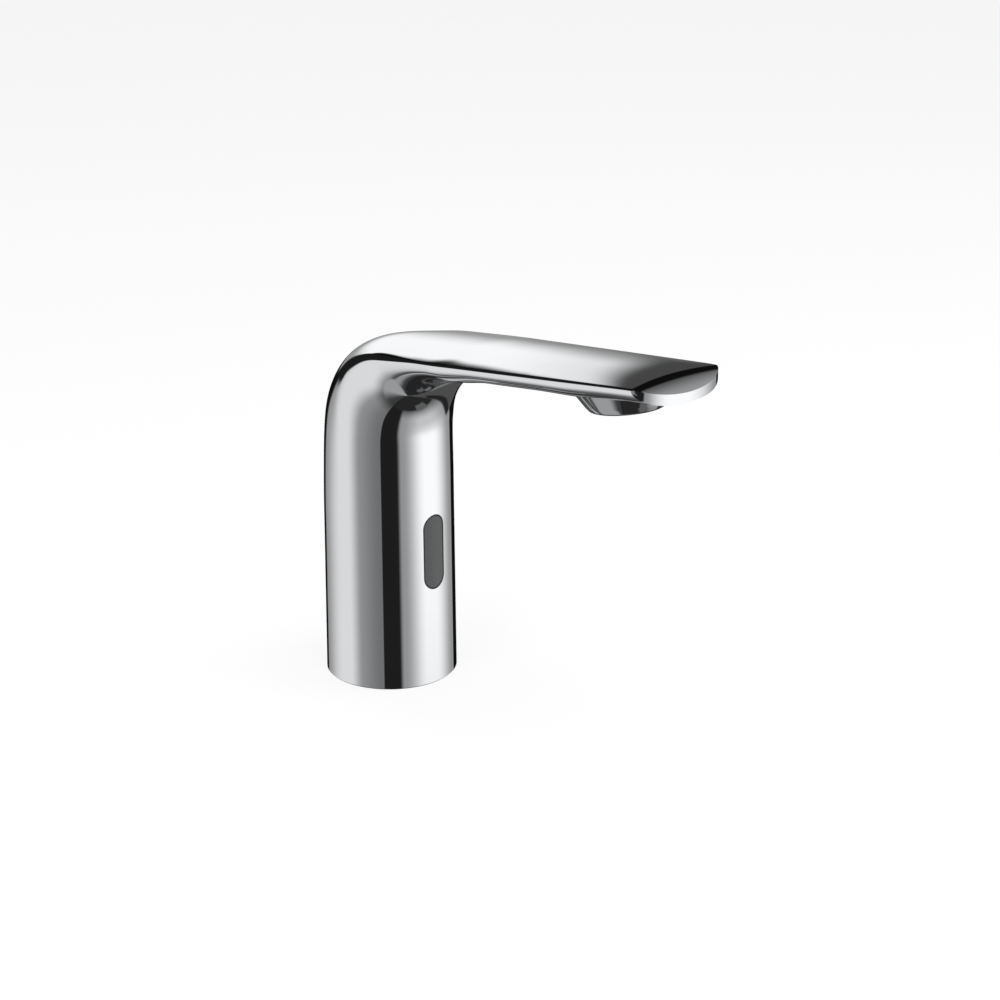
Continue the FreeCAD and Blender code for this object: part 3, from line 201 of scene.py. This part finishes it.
def casting_rows():
    """Grid of points: inside the hollow, under the foot, up the body, along the spout, over the nose."""
    table = casting_stations()
    knots = np.r_[0.0, np.cumsum(np.hypot(np.diff(table[:, 0] - 8.0 * table[:, 2] * (table[:, 3] + 0.0)),
                                          np.diff(table[:, 1] + 8.0 * table[:, 3])))]
    fine = np.array([rounded_section(*row[4:]) for row in table])
    half = np.arange(COLUMNS // 2) / (COLUMNS // 2)
    spread = half - 0.62 / (2.0 * math.pi) * np.sin(2.0 * math.pi * half)
    where = np.r_[spread, 1.0 + spread] * fine.shape[1] / 2.0
    near = where.astype(int)
    rest = where - near
    outline = fine[:, near] * (1.0 - rest) + fine[:, (near + 1) % fine.shape[1]] * rest
    f, z, ray_f, ray_z = (table[:, k, None] for k in range(4))
    grid = np.stack([outline.real, -(f + outline.imag * ray_f), z + outline.imag * ray_z], -1)
    bends = spline_bends(knots, grid)

    scan = np.linspace(knots[-6], knots[-1], 900)[:, None] * np.ones(COLUMNS)
    found = spline_at(knots, grid, bends, scan)
    past = -found[..., 1] - nose_front(found[..., 0])
    cross = np.argmax(past > 0.0, axis=0)
    column = np.arange(COLUMNS)
    before, after = past[cross - 1, column], past[cross, column]
    end = scan[cross - 1, 0] + (scan[1, 0] - scan[0, 0]) * before / (before - after)

    heights = np.r_[0.4, 2.6, np.linspace(5.0, 11.4, 8), 17.0, 23.0, 29.0, np.linspace(35.0, 69.6, 41),
                    np.linspace(74.0, table[7, 1], 6)[:-1]]
    body_t = np.interp(heights, table[:8, 1], knots[:8])
    bend_t = np.linspace(knots[7], knots[19], 68)[:-1]
    near_nose = np.interp(CORNER_F - 14.0, table[19:, 0], knots[19:])
    spout_t = np.linspace(knots[19], near_nose, 48)[:-1]
    plain = np.r_[body_t, bend_t, spout_t][:, None] * np.ones(COLUMNS)
    share = np.linspace(0.0, 1.0, 45)[:, None]
    outer = spline_at(knots, grid, bends, np.vstack([plain, near_nose + (end - near_nose) * share]))
    outer[-65:] = under_bevel(outer[-65:])

    rim = outer[-1]
    over, below = rim[:COLUMNS // 2 + 1][::-1], rim[COLUMNS // 2 + 6:COLUMNS - 5]

    def halfway(x):
        """Height midway between the rim's upper and lower edge."""
        return (np.interp(x, over[:, 0], over[:, 2]) + np.interp(x, below[:, 0], below[:, 2])) / 2.0

    shrink = np.linspace(1.0, 0.0, 18)[1:, None]
    wall_x = rim[:, 0] * shrink
    wall_z = halfway(wall_x) + (rim[:, 2] - halfway(rim[:, 0])) * shrink
    wall = np.stack([wall_x, -nose_front(wall_x), wall_z], -1)

    round_x, round_y = outer[0, :, 0] / np.hypot(*outer[0, :, :2].T), outer[0, :, 1] / np.hypot(*outer[0, :, :2].T)
    bow = np.radians(np.arange(0.0, 91.0, 15.0))
    inside = [(0.0, HOLLOW_TOP), (9.0, HOLLOW_TOP)]
    inside += list(zip(HOLLOW_R - 3.0 + 3.0 * np.sin(bow), HOLLOW_TOP - 3.0 + 3.0 * np.cos(bow)))
    inside += [(HOLLOW_R, 70.0), (HOLLOW_R, 40.0), (HOLLOW_R, 12.0), (HOLLOW_R, 0.0), (22.5, 0.0), (22.5, 1.0),
               (23.9, 1.0), (23.9, 0.0), (BASE_R - 0.4, 0.0)]
    inner = np.array([(r * round_x, r * round_y, np.full(COLUMNS, h)) for r, h in inside]).transpose(0, 2, 1)
    return np.vstack([inner, outer, wall])


def closed_grid(name, rows, smooth_angle=32.0):
    """Mesh over rows by columns of millimetre points, closed round each row and at both end points."""
    count, columns = rows.shape[:2]
    points = np.vstack([rows[0, :1], rows[1:-1].reshape(-1, 3), rows[-1, :1]]) * 0.001
    index = 1 + np.arange((count - 2) * columns).reshape(count - 2, columns)
    beside = np.roll(index, -1, axis=1)
    quads = np.stack([index[:-1], beside[:-1], beside[1:], index[1:]], -1).reshape(-1, 4)
    first = np.stack([np.zeros(columns, int), beside[0], index[0]], -1)
    last = np.stack([np.full(columns, len(points) - 1), index[-1], beside[-1]], -1)
    mesh = bpy.data.meshes.new(name)
    mesh.from_pydata(points.tolist(), [], quads.tolist() + first.tolist() + last.tolist())
    work = bmesh.new()
    work.from_mesh(mesh)
    if work.calc_volume(signed=True) < 0.0:
        bmesh.ops.reverse_faces(work, faces=work.faces)
    work.to_mesh(mesh)
    work.free()
    mesh.polygons.foreach_set("use_smooth", np.ones(len(mesh.polygons), bool))
    mesh.set_sharp_from_angle(angle=math.radians(smooth_angle))
    piece = bpy.data.objects.new(name, mesh)
    bpy.context.scene.collection.objects.link(piece)
    return piece


def from_outlet(radius, along, turns):
    """Rows round the outlet's tilted axis from radii and heights above its rim, both rows by columns."""
    x, y = radius * np.cos(turns), radius * np.sin(turns)
    c, s = math.cos(BOSS_TILT), math.sin(BOSS_TILT)
    return np.stack([x, y * c + along * s - BOSS_F, along * c - y * s + BOSS_Z], -1)


def turned_at_outlet(name, profile, columns=160):
    """A profile of radius and height turned round the outlet's axis."""
    profile = np.array(profile)
    turns = np.arange(columns) * 2.0 * math.pi / columns
    return closed_grid(name, from_outlet(profile[:, :1], profile[:, 1:], turns[None, :]))


def slot_prism(name, half_w, half_h, middle_z, y_from, y_to, columns=96):
    """An upright slot with round ends, or a circle, in x and z, carried along y."""
    a = (np.arange(columns) + 0.5) * 2.0 * math.pi / columns
    x = half_w * np.cos(a)
    z = half_w * np.sin(a) + np.sign(np.sin(a)) * (half_h - half_w)
    rings = [(0.0, y_from), (1.0, y_from), (1.0, y_to), (0.0, y_to)]
    rows = np.stack([(x * k, np.full(columns, y), middle_z + z * k) for k, y in rings]).transpose(0, 2, 1)
    return closed_grid(name, rows)


def carve(piece, cutters):
    """Cuts the cutters out of the piece and removes them."""
    for cutter in cutters:
        cut = piece.modifiers.new(cutter.name, "BOOLEAN")
        cut.operation, cut.solver, cut.object = "DIFFERENCE", "EXACT", cutter
    done = piece.evaluated_get(bpy.context.evaluated_depsgraph_get())
    mesh = bpy.data.meshes.new_from_object(done)
    piece.modifiers.clear()
    piece.data = mesh
    mesh.name = piece.name
    for cutter in cutters:
        bpy.data.objects.remove(cutter)
    mesh.polygons.foreach_set("use_smooth", np.ones(len(mesh.polygons), bool))
    mesh.set_sharp_from_angle(angle=math.radians(32.0))


def add_casting():
    """The casting's skin with its window, locking screw hole and outlet boss; stands for the CAD casting."""
    skin = closed_grid("casting_skin", casting_rows())
    carve(skin, [slot_prism("window_cut", 5.1, 14.6, 52.3, -BASE_R - 1.0, -12.6),
                 slot_prism("lock_cut", 2.0, 2.0, 8.2, HOLLOW_R - 1.0, BASE_R + 1.0),
                 turned_at_outlet("boss_plug", [(0.0, -3.0), (12.4, -3.0), (12.4, 10.0), (0.0, 10.0)])])
    bow = np.radians(np.arange(0.0, 91.0, 15.0))
    flare = 1.0 / math.tan(math.radians(56.0))
    rim = [(12.6 - 1.0 + 1.0 * math.sin(a) + 0.55 * (1.0 - math.cos(a)), 1.0 - 1.0 * math.cos(a)) for a in bow]
    cone = [(12.6 + h * flare, h) for h in np.linspace(1.6, 9.0, 9)]
    profile = [(0.0, 12.0), (11.0, 12.0), (18.6, 9.2)] + cone[::-1] + rim[::-1]
    profile += [(10.6, 0.0), (10.0, 0.5), (10.0, 4.0), (10.0, 11.0), (0.0, 11.0)]
    boss = turned_at_outlet("outlet_boss", profile)
    for piece in (skin, boss):
        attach(piece, "tap")
        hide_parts("body_casting")
    return [skin, boss]


# ---- shared effects --------------------------------------------------------------------------
def shader_group(name, inputs, outputs):
    """Empty shader node group with named inputs (name, kind, start value) and outputs (name, kind)."""
    tree = bpy.data.node_groups.new(name, "ShaderNodeTree")
    for label, kind, value in inputs:
        socket = tree.interface.new_socket(name=label, in_out="INPUT", socket_type="NodeSocket" + kind)
        socket.default_value = value
    for label, kind in outputs:
        tree.interface.new_socket(name=label, in_out="OUTPUT", socket_type="NodeSocket" + kind)
    return tree, tree.nodes.new("NodeGroupInput"), tree.nodes.new("NodeGroupOutput")


def math_node(tree, operation, a, b=None, c=None):
    """Math node on sockets or numbers; returns its output."""
    node = tree.nodes.new("ShaderNodeMath")
    node.operation = operation
    for i, value in enumerate((a, b, c)):
        if value is None:
            continue
        if isinstance(value, (int, float)):
            node.inputs[i].default_value = value
        else:
            tree.links.new(value, node.inputs[i])
    return node.outputs[0]


def noise(tree, vector, scale, detail=3.0, roughness=0.5):
    """Noise value on a vector socket; scale is a number or a socket."""
    node = tree.nodes.new("ShaderNodeTexNoise")
    node.inputs["Detail"].default_value = detail
    node.inputs["Roughness"].default_value = roughness
    tree.links.new(vector, node.inputs["Vector"])
    if isinstance(scale, (int, float)):
        node.inputs["Scale"].default_value = scale
    else:
        tree.links.new(scale, node.inputs["Scale"])
    return node.outputs["Fac"]


def mix_colour(tree, share, a, b):
    """Colour between a and b; each is a socket or a colour."""
    node = tree.nodes.new("ShaderNodeMix")
    node.data_type = "RGBA"
    for socket, value in ((node.inputs[0], share), (node.inputs[6], a), (node.inputs[7], b)):
        if isinstance(value, (int, float)):
            socket.default_value = value
        elif isinstance(value, tuple):
            socket.default_value = value
        else:
            tree.links.new(value, socket)
    return node.outputs[2]


def make_grain():
    """Fine surface: a roughness that varies softly in patches, with its grain as a height."""
    tree, given, out = shader_group(
        "surface_grain",
        [("Scale", "Float", 900.0), ("Roughness", "Float", 0.4), ("Variation", "Float", 0.1)],
        [("Roughness", "Float"), ("Height", "Float")])
    where = tree.nodes.new("ShaderNodeTexCoord").outputs["Object"]
    fine = noise(tree, where, given.outputs["Scale"], 4.0, 0.6)
    patch = noise(tree, where, 60.0, 2.0)
    swing = math_node(tree, "SUBTRACT", patch, 0.5)
    rough = math_node(tree, "MULTIPLY_ADD", swing, given.outputs["Variation"], given.outputs["Roughness"])
    tree.links.new(rough, out.inputs["Roughness"])
    tree.links.new(fine, out.inputs["Height"])
    return tree


def make_tone():
    """Two close colours mixed in soft patches and fine specks."""
    tree, given, out = shader_group(
        "tone_variation",
        [("Colour", "Color", (0.5, 0.5, 0.5, 1)), ("Second", "Color", (0.4, 0.4, 0.4, 1)),
         ("Scale", "Float", 120.0)],
        [("Colour", "Color")])
    where = tree.nodes.new("ShaderNodeTexCoord").outputs["Object"]
    share = noise(tree, where, given.outputs["Scale"], 5.0, 0.65)
    spread = math_node(tree, "MULTIPLY_ADD", math_node(tree, "SUBTRACT", share, 0.5), 2.2, 0.5)
    tree.links.new(mix_colour(tree, spread, given.outputs["Colour"], given.outputs["Second"]),
                   out.inputs["Colour"])
    return tree


def make_turning():
    """Fine lathe lines round an upright axis, as a height."""
    tree, given, out = shader_group(
        "turning_lines", [("Lines per metre", "Float", 6000.0)], [("Height", "Float")])
    where = tree.nodes.new("ShaderNodeTexCoord").outputs["Object"]
    parts = tree.nodes.new("ShaderNodeSeparateXYZ")
    tree.links.new(where, parts.inputs[0])
    square = math_node(tree, "ADD", math_node(tree, "MULTIPLY", parts.outputs[0], parts.outputs[0]),
                       math_node(tree, "MULTIPLY", parts.outputs[1], parts.outputs[1]))
    radius = math_node(tree, "SQRT", square)
    path = math_node(tree, "ADD", radius, parts.outputs[2])
    lines = math_node(tree, "SINE", math_node(tree, "MULTIPLY", path, given.outputs["Lines per metre"]))
    tree.links.new(lines, out.inputs["Height"])
    return tree


GRAIN, TONE, TURNING = make_grain(), make_tone(), make_turning()


# ---- finishes --------------------------------------------------------------------------------
def place(tree, group, **values):
    """A group node in a material, with its own values."""
    node = tree.nodes.new("ShaderNodeGroup")
    node.node_tree = group
    for label, value in values.items():
        node.inputs[label.replace("_", " ")].default_value = value
    return node


def bump(tree, height, strength, distance):
    """Bump node on a height; returns its normal."""
    node = tree.nodes.new("ShaderNodeBump")
    node.inputs["Strength"].default_value = strength
    node.inputs["Distance"].default_value = distance
    tree.links.new(height, node.inputs["Height"])
    return node.outputs["Normal"]


def finish(name, colour, second, rough, variation, metallic=0.0, tone_scale=120.0, grain_scale=900.0,
           grain=0.1, depth=0.00002, turned=0.0, coat=0.0, transmission=0.0, ior=1.5, specular=0.5):
    """Material from two close colours, a varied roughness and a fine grain or lathe lines."""
    material = bpy.data.materials.new(name)
    material.use_nodes = True
    tree = material.node_tree
    shader = tree.nodes["Principled BSDF"]
    tone = place(tree, TONE, Colour=colour + (1.0,), Second=second + (1.0,), Scale=tone_scale)
    tree.links.new(tone.outputs["Colour"], shader.inputs["Base Color"])
    surface = place(tree, GRAIN, Scale=grain_scale, Roughness=rough, Variation=variation)
    tree.links.new(surface.outputs["Roughness"], shader.inputs["Roughness"])
    height = surface.outputs["Height"]
    if turned > 0.0:
        lines = place(tree, TURNING, Lines_per_metre=turned)
        height = math_node(tree, "MULTIPLY_ADD", lines.outputs["Height"], 0.5, height)
    if grain > 0.0:
        tree.links.new(bump(tree, height, grain, depth), shader.inputs["Normal"])
    shader.inputs["Metallic"].default_value = metallic
    shader.inputs["Coat Weight"].default_value = coat
    shader.inputs["Coat Roughness"].default_value = 0.05
    shader.inputs["Transmission Weight"].default_value = transmission
    shader.inputs["IOR"].default_value = ior
    shader.inputs["Specular IOR Level"].default_value = specular
    return material


def finishes():
    """Every finish by the slot it stands for."""
    for plain in list(bpy.data.materials):
        plain.name = "plain_" + plain.name
    made = {}
    made["chrome_plate"] = finish("chrome_plate", (0.86, 0.87, 0.885), (0.84, 0.85, 0.87), 0.035, 0.02, 1.0,
                                  tone_scale=40.0, grain_scale=45.0, grain=0.0)
    made["brass"] = finish("brass", (0.72, 0.50, 0.20), (0.60, 0.39, 0.15), 0.28, 0.14, 1.0,
                           grain=0.25, turned=9000.0)
    made["steel"] = finish("steel", (0.60, 0.60, 0.58), (0.50, 0.50, 0.49), 0.26, 0.12, 1.0,
                           grain=0.2, turned=12000.0)
    made["zinc_steel"] = finish("zinc_steel", (0.62, 0.64, 0.66), (0.50, 0.53, 0.58), 0.32, 0.16, 1.0,
                                tone_scale=300.0, grain=0.3)
    made["rubber"] = finish("rubber", (0.018, 0.018, 0.019), (0.028, 0.028, 0.03), 0.72, 0.15,
                            grain_scale=1500.0, grain=0.5)
    made["valve_plastic"] = finish("valve_plastic", (0.72, 0.73, 0.72), (0.66, 0.67, 0.67), 0.45, 0.1,
                                   grain=0.3)
    made["black_plastic"] = finish("black_plastic", (0.022, 0.023, 0.025), (0.035, 0.036, 0.04), 0.42, 0.12,
                                   grain_scale=2200.0, grain=0.5)
    made["grey_plastic"] = finish("grey_plastic", (0.20, 0.21, 0.22), (0.16, 0.17, 0.18), 0.45, 0.12,
                                  grain_scale=2000.0, grain=0.45)
    made["window_black"] = finish("window_black", (0.028, 0.029, 0.031), (0.024, 0.025, 0.027), 0.12, 0.04,
                                  grain=0.02, coat=0.6)
    made["copper_wire"] = finish("copper_wire", (0.62, 0.24, 0.10), (0.50, 0.17, 0.07), 0.22, 0.1, 1.0,
                                 grain=0.1, turned=0.0)
    made["board_green"] = finish("board_green", (0.012, 0.12, 0.045), (0.018, 0.15, 0.06), 0.3, 0.08,
                                 tone_scale=700.0, grain=0.2)
    made["chip_black"] = finish("chip_black", (0.02, 0.02, 0.021), (0.03, 0.03, 0.03), 0.55, 0.1,
                                grain_scale=3000.0, grain=0.5)
    made["diode_clear"] = finish("diode_clear", (0.75, 0.78, 0.86), (0.70, 0.73, 0.82), 0.08, 0.03,
                                 grain=0.0, transmission=0.7, ior=1.53)
    made["diode_dark"] = finish("diode_dark", (0.02, 0.012, 0.02), (0.03, 0.016, 0.03), 0.1, 0.03,
                                grain=0.0, coat=0.4)
    made["battery_wrap"] = finish("battery_wrap", (0.045, 0.06, 0.10), (0.06, 0.075, 0.12), 0.35, 0.1,
                                  grain=0.25)
    made["contact_metal"] = finish("contact_metal", (0.72, 0.68, 0.58), (0.66, 0.6, 0.5), 0.24, 0.1, 1.0,
                                   grain=0.15)
    made["lead_jacket"] = finish("lead_jacket", (0.03, 0.03, 0.032), (0.045, 0.045, 0.05), 0.5, 0.1,
                                 grain_scale=1800.0, grain=0.4)
    made["aerator_plastic"] = finish("aerator_plastic", (0.62, 0.64, 0.66), (0.56, 0.58, 0.61), 0.4, 0.1,
                                     grain=0.3)
    made["mesh_plastic"] = finish("mesh_plastic", (0.45, 0.48, 0.52), (0.40, 0.43, 0.47), 0.35, 0.1,
                                  grain=0.25)
    return made


def dress(made):
    """Gives each node the finish of the slot that it came with."""
    for piece in nodes.values():
        for slot in piece.material_slots:
            slot.material = made[slot.material.name.removeprefix("plain_").split(".")[0]]


def add_spring(name):
    """Copy of a CAD spring, attached to the tap; stands for it."""
    bpy.context.view_layer.update()
    mesh = nodes[name].data.copy()
    mesh.transform(nodes[name].matrix_world)
    piece = bpy.data.objects.new(name + "_turns", mesh)
    bpy.context.scene.collection.objects.link(piece)
    points = np.empty(len(mesh.vertices) * 3, np.float32)
    mesh.vertices.foreach_get("co", points)
    points = points.reshape(-1, 3)
    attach(piece, "tap")
    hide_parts(name)
    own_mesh(piece)


# ---- studio ----------------------------------------------------------------------------------
def seen_share(tree):
    """1 on rays from the camera, in mirrors and through glass, 0 on light that falls on things."""
    path = tree.nodes.new("ShaderNodeLightPath")
    seen = math_node(tree, "MAXIMUM", path.outputs["Is Camera Ray"], path.outputs["Is Glossy Ray"])
    return math_node(tree, "MAXIMUM", seen, path.outputs["Is Transmission Ray"])


def add_world(fill):
    """White surroundings as seen, and a softer fill as light."""
    world = bpy.data.worlds.new("studio")
    bpy.context.scene.world = world
    world.use_nodes = True
    tree = world.node_tree
    back = tree.nodes["Background"]
    back.inputs["Color"].default_value = (1.0, 1.0, 1.0, 1.0)
    seen = seen_share(tree)
    strength = math_node(tree, "MULTIPLY_ADD", seen, 1.0 - fill, fill)
    tree.links.new(strength, back.inputs["Strength"])


def add_floor():
    """Pale floor that looks white and keeps the tap's shadow."""
    size = 6.0
    mesh = bpy.data.meshes.new("floor")
    mesh.from_pydata([(-size, -size, 0), (size, -size, 0), (size, size, 0), (-size, size, 0)], [],
                     [(0, 1, 2, 3)])
    floor = bpy.data.objects.new("floor", mesh)
    bpy.context.scene.collection.objects.link(floor)
    material = bpy.data.materials.new("floor_white")
    material.use_nodes = True
    tree = material.node_tree
    shader = tree.nodes["Principled BSDF"]
    shader.inputs["Base Color"].default_value = (0.9, 0.9, 0.9, 1.0)
    shader.inputs["Roughness"].default_value = 0.9
    glow = tree.nodes.new("ShaderNodeEmission")
    mix = tree.nodes.new("ShaderNodeMixShader")
    share = math_node(tree, "MULTIPLY", seen_share(tree), 0.82)
    tree.links.new(share, mix.inputs[0])
    tree.links.new(shader.outputs[0], mix.inputs[1])
    tree.links.new(glow.outputs[0], mix.inputs[2])
    tree.links.new(mix.outputs[0], tree.nodes["Material Output"].inputs["Surface"])
    mesh.materials.append(material)
    floor.visible_glossy = False


def direction(azimuth, elevation):
    """Unit vector; azimuth in degrees from +X towards +Y, elevation above level."""
    a, e = math.radians(azimuth), math.radians(elevation)
    return Vector((math.cos(e) * math.cos(a), math.cos(e) * math.sin(a), math.sin(e)))


# The tent's cards: azimuth from, to, soft before, soft after; elevation from, to, soft below, soft
# above, all in degrees; and brightness. Each one covers those before it.
TENT_GREY = 0.33
TENT_RADIUS = 40.0
CARDS = {
    "left_sheet": (134, 150, 54, 26, -90, 90, 1, 1, 0.8),
    "left_flank": (213, 243, 50, 1, -90, 90, 1, 1, 0.18),
    "front_sheet": (296, 314, 44, 48, -90, 90, 1, 1, 1.12),
    "front_strip": (214.5, 241.5, 1, 9, -90, 60, 1, 8, 0.014),
    "back_low": (-4, 98, 5, 12, -90, -29, 1, 3, 0.08),
    "low_line": (-3, 6, 4, 3, -64, -28, 3, 3, 0.02),
    "back_dark": (10, 74, 2, 7, -26, 90, 3, 1, 0.005),
    "behind_tip": (37, 52, 4, 2, 3, 20, 4, 4, 0.065),
    "behind_edge": (37, 52, 4, 2, -12, 0, 6, 4, 0.14),
    "shoulder_dark": (68, 104, 2, 8, -6, 90, 4, 1, 0.012),
    "side_dark": (100, 140, 5, 3, -1, 90, 6, 1, 0.012),
    "low_left": (98, 150, 12, 45, -90, -59, 1, 4, 0.36),
    "low_dark": (226, 350, 14, 8, -90, -60, 1, 3, 0.022),
    "low_right": (292, 322, 5, 8, -66, -58, 3, 3, 0.12),
    "ceiling": (0, 360, 0, 0, 66, 90, 10, 1, 0.3),
}


def between(value, low, high, before, after):
    """1 from low to high, easing to 0 over before and after."""
    return step(value, low - before, low) * (1.0 - step(value, high, high + after))


def tent_value(azimuth, elevation):
    """Brightness of the tent: grey cloth, the cards over it, less light below, two leaning cards low
    behind, the sheet behind the tap with a curved side and light growing upwards, and a card above
    the nose that fades as azimuth grows."""
    value = np.full(azimuth.shape, TENT_GREY)
    for name, (start, end, before, after, low, high, below, above, level) in CARDS.items():
        middle = (start + end) / 2.0
        turned = middle + (azimuth - middle + 180.0) % 360.0 - 180.0
        share = between(elevation, low, high, below, above)
        if end - start < 360:
            share = share * between(turned, start, end, before, after)
        if name == "front_sheet":
            value = value * (1.0 - 0.75 * step(-elevation, 40.0, 62.0))
            level = level * (1.0 - 0.45 * step(-elevation, 18.0, 36.0) - 0.42 * step(-elevation, 40.0, 62.0))
        value = value + (level - value) * share
    leaning = azimuth - 41.0 - 0.55 * (elevation + 44.0)
    for start, end, low, high, level in ((10.0, 20.0, -66.0, -45.0, 0.01), (-6.0, 6.0, -54.0, -32.0, 0.22)):
        value = value + (level - value) * between(leaning, start, end, 4.0, 4.0) * between(elevation, low, high, 4.0, 3.0)
    above = np.maximum(elevation - 3.0, 0.0)
    edge = 40.4 + 0.2 * above + 0.012 * above ** 2
    quick = 0.4 + 0.35 * step(elevation, 3.0, 11.0)
    sheet = quick * step(azimuth, edge - 0.5, edge + 0.9) + (1.0 - quick) * step(azimuth, edge, edge + 4.0)
    sheet = sheet * between(azimuth, 40.0, 62.0, 2.0, 3.0) * between(elevation, -7.0, 18.5, 3.0, 2.0)
    value = value + (0.33 + 0.72 * step(elevation, -3.0, 11.0) - value) * sheet
    ahead = (azimuth + 180.0) % 360.0 - 180.0
    falling = 0.08 + 0.27 * (1.0 - step(ahead, 2.0, 22.0))
    return value + (falling - value) * between(elevation, 39.0, 62.0, 2.0, 2.0) * between(ahead, -50.0, 19.5, 4.0, 2.0)


def add_tent():
    """Ball of cloth far round the tap that only mirrors see: a grid over azimuth and elevation, closer
    where the sheet behind the tap ends."""
    azimuth = np.r_[np.arange(28.0, 62.0, 0.4), np.arange(62.0, 388.0, 1.25)]
    elevation = np.r_[np.linspace(-89.9, -12.0, 60), np.linspace(-11.5, 45.0, 114), np.linspace(46.0, 89.9, 30)]
    a, e = np.meshgrid(azimuth % 360.0, elevation)
    ar, er = np.radians(a), np.radians(e)
    points = np.stack([np.cos(er) * np.cos(ar), np.cos(er) * np.sin(ar), np.sin(er)], -1) * TENT_RADIUS
    points = points.reshape(-1, 3)
    index = np.arange(a.size).reshape(a.shape)
    beside = np.roll(index, -1, axis=1)
    faces = np.stack([index[:-1], beside[:-1], beside[1:], index[1:]], -1).reshape(-1, 4)
    mesh = bpy.data.meshes.new("tent")
    mesh.from_pydata(points.tolist(), [], faces.tolist())
    glow = mesh.attributes.new("glow", "FLOAT", "POINT")
    glow.data.foreach_set("value", tent_value(a, e).ravel().astype(np.float32))
    tent = bpy.data.objects.new("tent", mesh)
    bpy.context.scene.collection.objects.link(tent)
    material = bpy.data.materials.new("tent_cloth")
    material.use_nodes = True
    tree = material.node_tree
    tree.nodes.remove(tree.nodes["Principled BSDF"])
    cloth = tree.nodes.new("ShaderNodeEmission")
    value = tree.nodes.new("ShaderNodeAttribute")
    value.attribute_name = "glow"
    tree.links.new(value.outputs["Fac"], cloth.inputs["Strength"])
    tree.links.new(cloth.outputs[0], tree.nodes["Material Output"].inputs["Surface"])
    mesh.materials.append(material)
    tent.visible_camera = tent.visible_diffuse = tent.visible_shadow = tent.visible_transmission = False


def add_lamp(name, azimuth, elevation, size, power, distance=1.2):
    """Soft square lamp turned to the tap."""
    data = bpy.data.lights.new(name, "AREA")
    data.size = size
    data.energy = power
    lamp = bpy.data.objects.new(name, data)
    lamp.location = direction(azimuth, elevation) * distance + Vector((0.0, -0.06, 0.08))
    lamp.rotation_euler = (-direction(azimuth, elevation)).to_track_quat("-Z", "Y").to_euler()
    lamp.visible_glossy = False
    lamp.visible_camera = False
    bpy.context.scene.collection.objects.link(lamp)


def studio():
    """Soft lamps over and beside the tap, white surroundings, and the tent that the chrome mirrors."""
    add_world(0.55)
    add_floor()
    add_tent()
    add_lamp("lamp_over", -100.0, 75.0, 0.9, 9.0)
    add_lamp("lamp_left", -170.0, 35.0, 0.7, 5.0)
    add_lamp("lamp_right", -40.0, 30.0, 0.7, 4.0)


made = finishes()
dress(made)
for chrome in add_casting():
    chrome.data.materials.clear()
    chrome.data.materials.append(made["chrome_plate"])
add_spring("plunger_spring")
add_spring("check_spring")
add_camera()
studio()
bpy.context.scene.view_settings.view_transform = "Standard"
